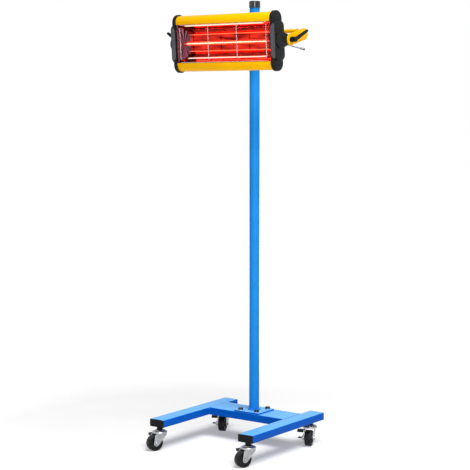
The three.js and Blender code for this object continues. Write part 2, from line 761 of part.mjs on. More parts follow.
function housing() {
  const outline = stadium(housingInset);
  const half = headDepth / 2 - housingInset;
  const wallInset = housingInset + housingWall;
  const shell = cut(
    prismX(outline, -headHalf, headHalf),
    prismX(stadium(wallInset), -headHalf - overrun, headHalf + overrun),
  );
  const opening = openingHeight / 2;
  const lips = [-1, 1].map((side) => {
    const z = side * (opening + housingWall / 2);
    return block(-headHalf, headHalf, -half, -half + lipDepth, z - housingWall / 2, z + housingWall / 2);
  });
  const window = block(-headHalf - overrun, headHalf + overrun, -headDepth, 0, -opening, opening);
  const glandHole = rodY(glandThread / 2 + seatGap, 0, headDepth, smallFacets)
    .translate(-glandAside, 0, -glandDrop);
  return cut(join(shell, ...lips), window, glandHole);
}

// The filled section of the trough in Y and Z: flat at the front, with two round rear corners
function bowl(depth, halfHeight, corner) {
  const front = reflectorSet - headDepth / 2;
  const y = front + depth - corner;
  const z = halfHeight - corner;
  const shape = new THREE.Shape();
  shape.moveTo(front, halfHeight);
  shape.lineTo(front, -halfHeight);
  shape.absarc(y, -z, corner, -Math.PI / 2, 0);
  shape.absarc(y, z, corner, 0, Math.PI / 2);
  shape.closePath();
  return shape;
}

function reflectorSolid(x1) {
  const halfHeight = openingHeight / 2 - seatGap;
  return prismX(bowl(reflectorDepth, halfHeight, reflectorCorner), -x1, x1);
}

function reflectorTrough() {
  const side = headHalf - seatGap;
  const halfHeight = openingHeight / 2 - seatGap - reflectorSheet;
  const hollow = bowl(reflectorDepth - reflectorSheet, halfHeight, reflectorCorner - reflectorSheet);
  const front = reflectorSet - headDepth / 2;
  return cut(
    reflectorSolid(side),
    prismX(hollow, -side - overrun, side + overrun),
    block(-side - overrun, side + overrun, front - overrun, front + seatGap, -halfHeight, halfHeight),
    beyondEnd(-1, 0),
    beyondEnd(1, 0),
  );
}

function reflectorEnd(sign) {
  const slab = cut(beyondEnd(sign, seatGap), beyondEnd(sign, seatGap + reflectorSheet));
  const inside = reflectorSolid(headHalf - seatGap);
  const hole = rodX(quartzDiameter / 2 + runGap, -headHalf, headHalf, smallFacets)
    .translate(0, quartzSet - headDepth / 2, 0);
  return cut(common(slab, inside), hole);
}

function quartzTube() {
  const outer = quartzDiameter / 2;
  return ring(outer - quartzWall, outer, -quartzHalf, quartzHalf)
    .rotateY(Math.PI / 2).translate(0, quartzSet - headDepth / 2, 0);
}

function lampHolder(sign) {
  const middle = quartzSet - headDepth / 2;
  const outer = headHalf - seatGap;
  const inner = outer - holderLength;
  const half = holderSize / 2;
  const body = block(inner, outer, middle - half, middle + half, -half, half);
  const socket = rodX(quartzDiameter / 2 + seatGap, inner - overrun, quartzHalf + seatGap)
    .translate(0, middle, 0);
  const pinHole = rodX(leadBore / 2, inner - overrun, outer + overrun, smallFacets)
    .translate(0, middle, 0);
  const holder = cut(body, socket, pinHole);
  return sign < 0 ? holder.rotateZ(Math.PI).translate(0, 2 * middle, 0) : holder;
}

function terminalBlock() {
  const seat = headDepth / 2 - housingInset - housingWall - seatGap;
  const low = (headDepth - headHeight) / 2 - Math.sqrt(seat ** 2 - (terminalDepth / 2) ** 2);
  const half = terminalLength / 2;
  const body = block(-half, half, -terminalDepth / 2, terminalDepth / 2, low, low + terminalHeight);
  const holes = [-1, 1].map((side) => rodY(leadBore / 2, -terminalDepth, terminalDepth, smallFacets)
    .translate(side * half / 2, 0, low + terminalHeight / 2));
  return cut(body, ...holes);
}

function wireGuard() {
  const y = housingInset - headDepth / 2;
  const halfWidth = (guardUprights - 1) * guardPitch / 2;
  const halfHeight = openingHeight / 2 - guardWire / 2 - seatGap;
  const r = guardWire / 2;
  const pieces = [];
  for (const z of [-halfHeight, halfHeight]) {
    pieces.push(rodX(r, -halfWidth - r, halfWidth + r, wireFacets).translate(0, y, z));
  }
  for (let i = 0; i < guardUprights; i += 1) {
    const x = i * guardPitch - halfWidth;
    pieces.push(rodZ(r, -halfHeight, halfHeight, wireFacets).translate(x, y - r / 2, 0));
  }
  return join(...pieces);
}

// An end cap with its raised pad, round boss and pivot lug, drawn for the +X end
function endCap() {
  const lugRear = headForward - tiltForward;
  const rimEnd = headHalf - capRim;
  const recess = prismX(stadium(housingInset - seatGap), rimEnd - overrun, headHalf);
  const plate = cut(bevelX(headDepth, headHeight, headDepth / 2, rimEnd, capFace, capEdge), recess);
  const pad = bevelX(headDepth, padHeight, padCorner, headHalf, capFace + padThickness, padEdge);
  const boss = rodX(hubBossDiameter / 2, capFace, capFace + padThickness + hubBossThickness);
  const lug = new THREE.Shape();
  lug.moveTo(0, -lugRoot / 2);
  lug.lineTo(headDepth / 2, -lugRoot / 2 + headDrop);
  lug.absarc(lugRear, headDrop, lugEye, -lugSpread, lugSpread);
  lug.lineTo(headDepth / 2, lugRoot / 2 + headDrop);
  lug.lineTo(0, lugRoot / 2 + headDrop);
  lug.closePath();
  const lugSolid = prismX(lug, lugFace - lugThickness, lugFace);
  const hole = rodX(clampStudDiameter / 2 + runGap, headHalf, lugFace + overrun, smallFacets)
    .translate(0, lugRear, headDrop);
  return cut(join(plate, pad, boss, lugSolid), hole);
}

function cableGland() {
  const wall = headDepth / 2 - housingInset;
  const out = wall + seatGap;
  const bore = glandBore / 2;
  const inside = wall - housingWall - seatGap;
  const body = turned([
    [bore, inside - glandNut], [glandDiameter / 2, inside - glandNut], [glandDiameter / 2, inside],
    [glandThread / 2, inside], [glandThread / 2, out],
    [glandDiameter / 2, out], [glandDiameter / 2, out + glandLength / 2],
    [glandDiameter / 2 - glandLength / 4, out + glandLength], [bore, out + glandLength],
    [bore, inside - glandNut],
  ], smallFacets);
  return body.rotateX(-Math.PI / 2).translate(-glandAside, 0, -glandDrop);
}

function addHead() {
  const pivot = new THREE.Group();
  pivot.position.set(0, -tiltForward, tiltHeight);
  pivot.rotation.x = headTilt;
  const head = new THREE.Group();
  head.position.set(0, tiltForward - headForward, -headDrop);
  pivot.add(head);
  addPiece(head, 'head_housing', housing(), 'yellow');
  addPiece(head, 'reflector', reflectorTrough(), 'mirror');
  addPiece(head, 'quartz_tube', quartzTube(), 'quartz');
  const filamentHalf = headHalf - 2 * seatGap;
  const filament = rodX(filamentDiameter / 2, -filamentHalf, filamentHalf, wireFacets)
    .translate(0, quartzSet - headDepth / 2, 0);
  addPiece(head, 'filament', filament, 'glow');
  addPiece(head, 'terminal_block', terminalBlock(), 'ceramic');
  addPiece(head, 'wire_guard', wireGuard(), 'chrome');
  addPiece(head, 'cable_gland', cableGland(), 'black');
  for (const [side, sign] of [['left', -1], ['right', 1]]) {
    addPiece(head, `reflector_end_${side}`, reflectorEnd(sign), 'mirror');
    addPiece(head, `lamp_holder_${side}`, lampHolder(sign), 'ceramic');
    const cap = sign < 0 ? endCap().applyMatrix4(new THREE.Matrix4().makeScale(-1, 1, 1)) : endCap();
    if (sign < 0) {
      cap.setIndex(Array.from(cap.index.array).reverse());
    }
    addPiece(head, `end_cap_${side}`, cap, 'black');
  }
  lamp.add(pivot);
}

addStand();
addHeightClamp();
addYoke();
addClampLevers();
addHead();

// The origin goes to the middle of the footprint
const reach = new THREE.Box3().setFromObject(lamp);
lamp.position.y = -(reach.min.y + reach.max.y) / 2;
lamp.updateMatrixWorld(true);

export default lamp;
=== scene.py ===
"""Infrared paint curing lamp on a wheeled stand. Metres, +Z up; the lamp faces -Y."""
import json
import math

import bmesh
import bpy
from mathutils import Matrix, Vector


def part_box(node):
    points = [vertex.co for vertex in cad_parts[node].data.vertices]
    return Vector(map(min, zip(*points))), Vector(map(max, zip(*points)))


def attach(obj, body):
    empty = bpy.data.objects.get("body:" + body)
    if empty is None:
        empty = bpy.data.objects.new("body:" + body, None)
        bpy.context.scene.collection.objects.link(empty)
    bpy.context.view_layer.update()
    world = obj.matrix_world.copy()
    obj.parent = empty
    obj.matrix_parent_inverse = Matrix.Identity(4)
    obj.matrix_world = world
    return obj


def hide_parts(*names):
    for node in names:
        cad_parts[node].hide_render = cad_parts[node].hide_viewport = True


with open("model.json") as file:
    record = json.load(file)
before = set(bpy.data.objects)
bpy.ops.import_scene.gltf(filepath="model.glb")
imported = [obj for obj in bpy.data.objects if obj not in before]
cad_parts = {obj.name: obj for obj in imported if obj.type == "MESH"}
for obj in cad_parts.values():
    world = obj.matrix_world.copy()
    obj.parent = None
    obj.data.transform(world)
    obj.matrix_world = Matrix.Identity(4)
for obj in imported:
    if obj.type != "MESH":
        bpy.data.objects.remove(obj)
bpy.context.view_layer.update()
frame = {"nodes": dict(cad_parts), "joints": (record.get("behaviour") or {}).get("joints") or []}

# Fineness of the meshes
TINY = 2e-6
FINE = 96  # facets round a large form
ROUND = 64
SMALL = 32
WIRE = 16
SMOOTH_ANGLE = math.radians(32)
BREAK = 0.0003  # how far a thin edge is rounded
GAP = 0.0003  # between two pieces that fit together

# Turns that stand a form drawn in X and Y, or turned round Z, as it lies on the lamp
ALONG_X = (math.pi / 2, 0, math.pi / 2)  # X, Y, Z of the drawing become Y, Z, X
ALONG_Y = (math.pi / 2, 0, 0)  # X, Y, Z of the drawing become X, Z, -Y
OVER_Y = (0, math.pi / 2, 0)  # Z of the drawing becomes X


# Shaping

def alone(piece):
    """Only this piece is selected, and it is the active one."""
    bpy.ops.object.select_all(action="DESELECT")
    piece.select_set(True)
    bpy.context.view_layer.objects.active = piece
    return piece


def edit(piece=None):
    """Goes into edit mode, on a given piece or the active one."""
    if piece:
        alone(piece)
    bpy.ops.object.mode_set(mode="EDIT")


def everything():
    """Selects all of the edited piece."""
    bpy.ops.mesh.select_all(action="SELECT")


def begin(make, **settings):
    """A primitive at the origin, being edited with all of it selected."""
    bpy.ops.object.select_all(action="DESELECT")
    make(location=(0, 0, 0), **settings)
    edit()
    bpy.ops.mesh.select_mode(type="VERT")
    everything()


def end():
    bpy.ops.object.mode_set(mode="OBJECT")
    return bpy.context.object


def select(kind, test):
    """Selects the edited piece's VERT, EDGE or FACE elements whose middle and direction pass the test."""
    bpy.ops.mesh.select_mode(type=kind)
    bpy.ops.mesh.select_all(action="DESELECT")
    mesh = bmesh.from_edit_mesh(bpy.context.edit_object.data)
    mesh.normal_update()
    if kind == "VERT":
        found = [v for v in mesh.verts if test(v.co)]
    elif kind == "EDGE":
        found = [e for e in mesh.edges
                 if test((e.verts[0].co + e.verts[1].co) / 2, (e.verts[1].co - e.verts[0].co).normalized())]
    else:
        found = [f for f in mesh.faces if test(f.calc_center_median(), f.normal)]
    for item in found:
        item.select_set(True)
    mesh.select_flush_mode()
    bmesh.update_edit_mesh(bpy.context.edit_object.data)


def move(x=0, y=0, z=0):
    bpy.ops.transform.translate(value=(x, y, z))


def scale(x, y, z, about):
    bpy.ops.transform.resize(value=(x, y, z), center_override=about)


def extrude(x=0, y=0, z=0):
    bpy.ops.mesh.extrude_region_move(TRANSFORM_OT_translate={"value": (x, y, z)})


def tidy_shell():
    """Doubles are merged and all faces point outwards."""
    everything()
    bpy.ops.mesh.remove_doubles(threshold=TINY)
    bpy.ops.mesh.normals_make_consistent(inside=False)


def modify(piece, kind, **settings):
    """Adds a modifier and applies it."""
    alone(piece)
    modifier = piece.modifiers.new(kind.lower(), kind)
    for name, value in settings.items():
        setattr(modifier, name, value)
    bpy.ops.object.modifier_apply(modifier=modifier.name)
    return piece


def round_edges(piece, test, radius, segments=5):
    """Rounds the edges that pass the test, and leaves the piece in edit mode."""
    edit(piece)
    select("EDGE", test)
    bpy.ops.mesh.bevel(offset=radius, segments=segments)


def soften(piece, width=0.0006, segments=3):
    """Rounds every sharp edge."""
    return modify(piece, "BEVEL", width=width, segments=segments, limit_method="ANGLE", angle_limit=SMOOTH_ANGLE)


def placed(piece, at=(0, 0, 0), turn=(0, 0, 0)):
    """Turns and moves a piece, and keeps its place in its mesh."""
    alone(piece)
    piece.rotation_euler = turn
    piece.location = at
    bpy.ops.object.transform_apply(location=True, rotation=True, scale=True)
    return piece


def joined(first, *others):
    alone(first)
    for piece in others:
        piece.select_set(True)
    bpy.ops.object.join()
    return first


def copied(piece):
    twin = piece.copy()
    twin.data = piece.data.copy()
    bpy.context.scene.collection.objects.link(twin)
    return twin


def mirrored(piece):
    """A copy with left and right changed over."""
    twin = copied(piece)
    alone(twin)
    twin.scale = (-1, 1, 1)
    bpy.ops.object.transform_apply(location=True, rotation=True, scale=True)
    edit()
    tidy_shell()
    return end()


def cut_away(piece, tool):
    """Takes the tool's form out of the piece."""
    modify(piece, "BOOLEAN", object=tool, operation="DIFFERENCE", solver="EXACT")
    bpy.data.objects.remove(tool)
    return piece


def turned(profile, facets=ROUND):
    """A form turned round Z, drawn ring by ring through (radius, height) pairs.
    It has flat ends, or is a closed ring where the profile comes back to its start."""
    radius, height = profile[0]
    closes = profile[0] == profile[-1]
    begin(bpy.ops.mesh.primitive_circle_add, vertices=facets, radius=radius,
          fill_type="NOTHING" if closes else "NGON")
    move(z=height)
    for next_radius, next_height in profile[1:]:
        extrude(z=next_height - height)
        grow = next_radius / radius
        scale(grow, grow, 1, (0, 0, next_height))
        radius, height = next_radius, next_height
    tidy_shell()
    return end()


def ring(inner, outer, z0, z1, facets=ROUND):
    """A tube or washer along Z."""
    return turned([(inner, z0), (outer, z0), (outer, z1), (inner, z1), (inner, z0)], facets)


def rod(radius, z0, z1, facets=SMALL, edge=0):
    """A round bar along Z, with a chamfer at both ends."""
    return turned([(radius - edge, z0), (radius, z0 + edge), (radius, z1 - edge), (radius - edge, z1)]
                  if edge else [(radius, z0), (radius, z1)], facets)


def hexagon(across, z0, z1, chamfer):
    """A bolt head or nut: a hexagonal bar whose corners are turned down at its upper end."""
    begin(bpy.ops.mesh.primitive_cylinder_add, vertices=6, radius=across / math.sqrt(3), depth=z1 - z0)
    move(z=(z0 + z1) / 2)
    select("FACE", lambda at, normal: normal.z > 0.5)
    bpy.ops.mesh.inset(thickness=chamfer)
    move(z=-chamfer / 4)
    select("EDGE", lambda at, way: abs(way.z) < 0.5 and at.z > z1 - chamfer / 8)
    move(z=-chamfer / 2)
    select("FACE", lambda at, normal: normal.z > 0.9)
    move(z=chamfer / 4)
    return soften(end(), chamfer / 6, 2)


def block(low, high):
    begin(bpy.ops.mesh.primitive_cube_add, size=1)
    size = Vector(high) - Vector(low)
    scale(*size, (0, 0, 0))
    move(*((Vector(high) + Vector(low)) / 2))
    return end()


def drawn(points):
    """A line of edges through points in X and Y, being edited with all of it selected."""
    begin(bpy.ops.mesh.primitive_plane_add, size=1)
    bpy.ops.mesh.merge(type="CENTER")
    move(*points[0])
    for start, stop in zip(points, points[1:]):
        extrude(stop[0] - start[0], stop[1] - start[1])
    everything()


def arc(x, y, radius, start, stop, steps=12):
    """Points along an arc between two angles in degrees."""
    angles = [math.radians(start + (stop - start) * step / steps) for step in range(steps + 1)]
    return [(x + radius * math.cos(angle), y + radius * math.sin(angle)) for angle in angles]


def plate(points, thickness):
    """A flat plate in X and Y through its corners, its upper face at Z = thickness."""
    drawn(points)
    bpy.ops.mesh.edge_face_add()
    everything()
    extrude(z=thickness)
    tidy_shell()
    return end()


def link(radius, far_radius, dx, dy, thickness, facets=SMALL):
    """A plate drawn in X and Y: a round end at the origin and another at (dx, dy)."""
    length = math.hypot(dx, dy)
    begin(bpy.ops.mesh.primitive_circle_add, vertices=facets, radius=radius, fill_type="NGON")
    select("VERT", lambda at: at.x > TINY)
    move(x=length)
    scale(far_radius / radius, far_radius / radius, 1, (length, 0, 0))
    everything()
    extrude(z=thickness)
    tidy_shell()
    return placed(end(), turn=(0, 0, math.atan2(dy, dx)))


def stadium(radius, half_height):
    """The corners of a flat-sided outline with round ends above and below."""
    middle = half_height - radius
    return arc(0, middle, radius, 0, 180, SMALL) + arc(0, -middle, radius, 180, 360, SMALL)


def rounded_plate(width, height, corner, thickness):
    """A plate in X and Y with round corners, being edited, its upper face at Z = thickness."""
    begin(bpy.ops.mesh.primitive_plane_add, size=1)
    scale(width, height, 1, (0, 0, 0))
    bpy.ops.mesh.bevel(offset=corner, segments=8, affect="VERTICES")
    everything()
    extrude(z=thickness)
    tidy_shell()


def bent_wire(radius):
    """Turns the edges of the active piece into a round wire."""
    bpy.ops.object.convert(target="CURVE")
    wire = bpy.context.object
    wire.data.bevel_depth = radius
    wire.data.bevel_resolution = 4
    wire.data.use_fill_caps = True
    bpy.ops.object.convert(target="MESH")
    edit()
    tidy_shell()
    return end()


def ripple(radius, z0, z1, pitch):
    """A weld bead along Z with its ripples."""
    count = max(2, round((z1 - z0) / pitch))
    profile = [(radius / 2, z0)]
    for number in range(count):
        start = z0 + (z1 - z0) * number / count
        profile += [(radius * 0.9, start + pitch * 0.1), (radius, start + pitch * 0.5)]
    return turned(profile + [(radius / 2, z1)], WIRE)


def dress(piece, name, body, finish, *nodes):
    """Gives a finished piece its name, its material and the body it rides on, and hides the nodes it stands for."""
    material, slot = finish
    piece.name = piece.data.name = name
    alone(piece)
    bpy.ops.object.shade_smooth_by_angle(angle=SMOOTH_ANGLE)
    piece.data.materials.clear()
    piece.data.materials.append(material)
    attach(piece, body)
    if nodes:
        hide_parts(*nodes)
    return piece


# Materials

def linear(code):
    """An sRGB hex colour as linear RGBA."""
    parts = [int(code[i:i + 2], 16) / 255 for i in (1, 3, 5)]
    return [p / 12.92 if p <= 0.04045 else ((p + 0.055) / 1.055) ** 2.4 for p in parts] + [1.0]


def add(tree, kind, sockets=None, settings=None):
    """Adds a shader node. A socket gets a value, or a link where another socket or a node is given."""
    node = tree.nodes.new("ShaderNode" + kind)
    for name, value in (settings or {}).items():
        setattr(node, name, value)
    for name, value in (sockets or {}).items():
        if isinstance(value, bpy.types.Node):
            value = value.outputs[0]
        if isinstance(value, bpy.types.NodeSocket):
            tree.links.new(value, node.inputs[name])
        else:
            node.inputs[name].default_value = value
    return node


def surface(name):
    """An empty material and its tree."""
    material = bpy.data.materials.new(name)
    material.use_nodes = True
    material.node_tree.nodes.clear()
    return material, material.node_tree


def grain(tree, size, detail=2.0, stretch=(1, 1, 1)):
    """Noise on the piece's own coordinates; size is the width of one patch, and stretch draws it out."""
    place = add(tree, "TexCoord").outputs["Object"]
    mapped = add(tree, "Mapping", {"Vector": place, "Scale": [1 / s for s in stretch]})
    return add(tree, "TexNoise", {"Vector": mapped, "Scale": 1 / size, "Detail": detail})


def between(tree, pattern, low, high, start=0.35, stop=0.65):
    """Goes from one colour or number to another as a pattern goes from start to stop."""
    if not isinstance(low, str):
        return add(tree, "MapRange", {0: pattern, 1: start, 2: stop, 3: low, 4: high})
    ramp = add(tree, "ValToRGB", {"Fac": pattern})
    for element, position, colour in zip(ramp.color_ramp.elements, (start, stop), (low, high)):
        element.position = position
        element.color = linear(colour)
    return ramp


def coat(material, sockets, relief=None):
    """Finishes a material. A socket may be given as a pattern and the two colours or numbers that it goes between;
    the relief is a pattern, its depth in metres and its strength."""
    tree = material.node_tree
    sockets = {name: between(tree, *value) if isinstance(value, tuple) else value for name, value in sockets.items()}
    if relief:
        sockets["Normal"] = add(tree, "Bump", dict(zip(("Height", "Distance", "Strength"), relief)))
    add(tree, "OutputMaterial", {"Surface": add(tree, "BsdfPrincipled", sockets)})
    return material


def powder_coat(name, colour, shade, top, shine):
    """Powder coat baked on steel: an even, saturated colour with a painted highlight where it faces up. Upward faces
    turn to the top colour, paler for the blue, so that the stand's flat tops stand out from its sides as if lit. Its
    orange peel is drawn a little coarser than the real 1 to 2 mm."""
    material, tree = surface(name)
    cloud = grain(tree, 0.09, 3.0)
    facing = add(tree, "NewGeometry").outputs["Normal"]
    upward = add(tree, "SeparateXYZ", {0: facing}).outputs["Z"]
    # painted highlight: faces that point up blend to the top colour
    tone_with_painted_top_highlight = add(tree, "MixRGB", {"Fac": between(tree, upward, 0, 1, 0.8, 1.0),
                                "Color1": between(tree, cloud, shade, colour), "Color2": linear(top)})
    return coat(material, {
        "Base Color": tone_with_painted_top_highlight,
        "Roughness": (cloud, 0.3, 0.38),
        "Specular IOR Level": shine, "IOR": 1.5}, (grain(tree, 0.0024, 1.0), 0.00004, 0.25))


def moulded_nylon(name, colour, shade, rough, sheen):
    """Glass-filled nylon moulded in a spark-eroded tool: near black, with a grain that softens its sheen.
    The real grain is a third of the 1.1 mm drawn, too fine to show."""
    material, tree = surface(name)
    leather = grain(tree, 0.0011)
    return coat(material, {
        "Base Color": (grain(tree, 0.03, 3.0), shade, colour),
        "Roughness": (leather, rough - 0.07, rough + 0.07),
        "Specular IOR Level": sheen, "IOR": 1.53}, (leather, 0.00006, 0.35))


def gloss_plastic():
    """ABS from a polished tool: deep black with sharp reflections."""
    material, tree = surface("gloss_black_abs")
    flow = grain(tree, 0.02, 2.0, (1, 1, 4))
    return coat(material, {
        "Base Color": (flow, "#0f1012", "#17181a"),
        "Roughness": (flow, 0.1, 0.18),
        "IOR": 1.54}, (flow, 0.0001, 0.1))


def zinc_plate():
    """Bright zinc plating on pressed steel: pale grey metal with soft clouds. The press's faint draw lines are
    drawn 1.2 mm apart, wider than real, to show."""
    material, tree = surface("bright_zinc_plate")
    draw_lines = grain(tree, 0.0012, 2.0, (1, 1, 12))
    return coat(material, {
        "Base Color": (grain(tree, 0.008, 4.0), "#97999c", "#b2b4b6"),
        "Roughness": (draw_lines, 0.24, 0.4),
        "Metallic": 1.0}, (draw_lines, 0.00003, 0.2))


def plain_steel(name, colour, shade, rough):
    """Steel bar or bolt stock with its finish rubbed by use: dark metal, lighter in patches."""
    material, tree = surface(name)
    worn = grain(tree, 0.004, 5.0)
    return coat(material, {
        "Base Color": (worn, shade, colour, 0.4, 0.7),
        "Roughness": (worn, rough + 0.08, rough - 0.06),
        "Metallic": 1.0}, (worn, 0.00004, 0.2))


def tyre_rubber():
    """Moulded rubber tread: dull black, with dust in its grain, which is drawn at 1.2 mm to show."""
    material, tree = surface("moulded_rubber")
    dust = grain(tree, 0.006, 5.0)
    return coat(material, {
        "Base Color": (dust, "#070708", "#0f1011"),
        "Roughness": (dust, 0.42, 0.6),
        "Specular IOR Level": 0.2, "IOR": 1.52}, (grain(tree, 0.0012), 0.00008, 0.3))


def chrome_wire():
    """Hard chrome on steel wire: a bright mirror with hardly any grain. Its base colour is darker and pinker than
    chrome, painted in for the dim, red-lit reflections that the wires show.
    """
    material, tree = surface("chromed_wire_painted_red_light")
    cloud = grain(tree, 0.01)
    return coat(material, {
        "Base Color": (cloud, "#8f8583", "#a99f9c"),
        "Roughness": (cloud, 0.12, 0.2),
        "Metallic": 1.0})


def aluminium_with_painted_glow(name, colour, dark, streaks, rough):
    """Bright-anodised aluminium sheet with the heater's light painted into it: a mirror whose base colour is a
    painted red glow, going between a dark and a bright red over its streaks, and whose emission draws painted
    reflections of the filament.
    """
    material, tree = surface(name)
    return coat(material, {
        "Base Color": (streaks(tree), dark, colour),
        "Metallic": 1.0,
        "Roughness": (streaks(tree), rough, rough + 0.05),
        "Emission Color": painted_filament_reflections(tree),
        "Emission Strength": along_tube(tree, 1.5, 0.0)}, (streaks(tree), 0.0001, 0.06))


# painted reflections of the filament: pale emission lines on the trough
PAINTED_REFLECTION_LINES = ((-0.042, 0.001, "#ffd3bc"), (-0.0225, 0.0006, "#f8724a"),
                   (0.025, 0.0006, "#f8724a"), (0.051, 0.001, "#ffdcc0"))  # height, half width and colour
IMAGE_SPAN = 0.06  # half the height that the lines are spread over
DARK = linear("#000000")


def painted_filament_reflections(tree):
    """Painted reflections of the filament in the folded sheet: pale emission lines along the trough at given
    heights.
    """
    place = add(tree, "TexCoord").outputs["Object"]
    from_head = add(tree, "VectorMath", {0: place, 1: HEAD}, {"operation": "SUBTRACT"})
    height = add(tree, "VectorMath", {0: from_head, 1: HEAD_UP}, {"operation": "DOT_PRODUCT"}).outputs["Value"]
    ramp = add(tree, "ValToRGB", {0: between(tree, height, 0, 1, -IMAGE_SPAN, IMAGE_SPAN)})
    stops = ramp.color_ramp.elements
    stops[0].color = stops[1].color = DARK
    for middle, half, colour in PAINTED_REFLECTION_LINES:
        for step, shade in ((-2, DARK), (-1, linear(colour)), (1, linear(colour)), (2, DARK)):
            stops.new((middle + step * half + IMAGE_SPAN) / (2 * IMAGE_SPAN)).color = shade
    return ramp


def rolled_streaks(tree):
    """Long patches along the trough, as rolled sheet has; in the base colour they vary the painted red glow."""
    return grain(tree, 0.006, 4.0, (9, 1, 1.5))


def ray_streaks(tree):
    """Patches that fan out from the tube's end over an end plate: painted rays of the tube's red light in the base
    colour, and the same patches in its roughness and relief.
    """
    split = add(tree, "SeparateXYZ", {0: add(tree, "TexCoord").outputs["Object"]}).outputs
    across, along = [add(tree, "Math", {0: split[axis], 1: middle}, {"operation": "SUBTRACT"})
                     for axis, middle in (("Z", HEAD.z + TUBE_DROP), ("Y", HEAD.y + TUBE_Y))]
    angle = add(tree, "Math", {0: across, 1: along}, {"operation": "ARCTAN2"})
    return add(tree, "TexNoise", {"W": angle, "Scale": 9.0, "Detail": 4.0}, {"noise_dimensions": "1D"})


def along_tube(tree, hot, cold):
    """A value over the heated length of the tube, and another at its cold ends."""
    split = add(tree, "SeparateXYZ", {0: add(tree, "TexCoord").outputs["Object"]}).outputs
    out = add(tree, "Math", {0: split["X"]}, {"operation": "ABSOLUTE"})
    return between(tree, out, hot, cold, HEATED_HALF, HEATED_HALF + 0.008)


def ruby_quartz():
    """Ruby-tinted quartz glass, hot and lit from inside: a clear red tube with a soft glow."""
    material, tree = surface("ruby_quartz_glass")
    heat = grain(tree, 0.01, 2.0, (6, 1, 1))
    return coat(material, {
        "Base Color": linear("#ff7a66"),
        "Transmission Weight": 0.9,
        "Roughness": (heat, 0.02, 0.06),
        "Emission Color": (heat, "#ff2a18", "#ff5038"),
        "Emission Strength": along_tube(tree, 1.0, 0.0),
        "IOR": 1.46})


def hot_tungsten():
    """Tungsten wire at white heat: it gives its own light, a little uneven from turn to turn."""
    material, tree = surface("incandescent_tungsten")
    heat = grain(tree, 0.02)
    return coat(material, {
        "Base Color": linear("#b8a89c"),
        "Metallic": 1.0,
        "Roughness": (heat, 0.4, 0.5),
        "Emission Color": (heat, "#ffc9a8", "#fff0e4"),
        "Emission Strength": along_tube(tree, 60.0, 0.2)})


def steatite():
    """Unglazed steatite ceramic: chalky, warm white and slightly porous. Its pores are drawn at 0.8 mm to show."""
    material, tree = surface("steatite_ceramic")
    pores = grain(tree, 0.0008, 4.0)
    return coat(material, {
        "Base Color": (pores, "#d9d2c2", "#ece7dc"),
        "Roughness": (pores, 0.6, 0.75)}, (pores, 0.00005, 0.3))


# Places on the lamp, from the frame
POLE_LOW, POLE_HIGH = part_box("pole")
POLE = (POLE_LOW + POLE_HIGH) / 2
POLE_RADIUS = (POLE_HIGH.x - POLE_LOW.x) / 2
LEG_LOW, LEG_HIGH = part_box("leg_left")
HOUSING_LOW, HOUSING_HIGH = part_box("head_housing")
HEAD = (HOUSING_LOW + HOUSING_HIGH) / 2
CAP_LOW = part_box("end_cap_right")[0]
HEAD_TILT = math.radians(4)
TUBE_Y = -0.002  # the tube's axis in front of the head's centre
HEATED_HALF = 0.134  # half the length of tube that glows
TUBE_DROP = TUBE_Y * math.tan(HEAD_TILT)
HEAD_UP = (0, -math.sin(HEAD_TILT), math.cos(HEAD_TILT))
JOINTS = {joint["name"]: joint for joint in frame["joints"]}
TILT = Vector(JOINTS["head_tilt"]["pos_m"])
LUG_IN = 0.174  # the inner face of a cap's pivot lug
PLACES = ("front_left", "rear_left", "front_right", "rear_right")

# Finishes: a surface and the record's slot that it shows
# each coat's top colour is a painted highlight on its upward faces
BLUE = powder_coat("blue_powder_coat", "#0055b8", "#0050b0", "#62b2f4", 0.05), "blue_enamel"
# the pole's own copy of the blue coat, painted lighter for the highlight along its front
POLE_BLUE_PAINTED_LIGHTER = powder_coat("pole_powder_coat_painted_lighter", "#2088dc", "#1c82d4", "#62b2f4", 0.06), "blue_enamel"
YELLOW = powder_coat("yellow_powder_coat", "#fdbc00", "#f8b600", "#f4ac00", 0.06), "yellow_enamel"
NYLON = moulded_nylon("black_moulded_nylon", "#121315", "#0c0d0e", 0.5, 0.12), "black_moulding"
# a lighter grey copy of the black nylon: a painted highlight for the caps' front flats
NYLON_PAINTED_HIGHLIGHT = moulded_nylon("black_nylon_painted_highlight", "#4a4b50", "#404146", 0.3, 0.3), "black_moulding"
GLOSS = gloss_plastic(), "gloss_black_cap"
ZINC = zinc_plate(), "zinc_plate"
BLACK_OXIDE = plain_steel("black_oxide_steel", "#37393c", "#1c1d1f", 0.36), "bolt_steel"
DARK_ROD = plain_steel("oiled_steel_rod", "#85888c", "#5c5f63", 0.32), "bolt_steel"
RUBBER = tyre_rubber(), "caster_tread"
WHEEL_NYLON = moulded_nylon("wheel_nylon", "#131416", "#0c0d0e", 0.4, 0.25), "caster_tread"
# the chrome's darker pink tone is painted light from the heater
CHROME = chrome_wire(), "guard_wire"
# the trough's red base colour is a painted glow and its emission lines are painted reflections
TROUGH = aluminium_with_painted_glow("aluminium_painted_red_glow", "#c4281a", "#640a0a", rolled_streaks, 0.03), "bright_reflector"
# the end plates' dark base colour is painted shade, crossed by painted rays of red from the tube
END_PLATE_PAINTED_SHADE = aluminium_with_painted_glow("aluminium_painted_shade", "#8c4a58", "#14060a", ray_streaks, 0.12), "bright_reflector"
QUARTZ = ruby_quartz(), "quartz_glass"
TUNGSTEN = hot_tungsten(), "glowing_filament"
CERAMIC = steatite()


# Stand

LEG_WALL = 0.002
LEG_CORNER = 0.0025
CHANNEL_WALL = 0.003
BEAD = 0.0024


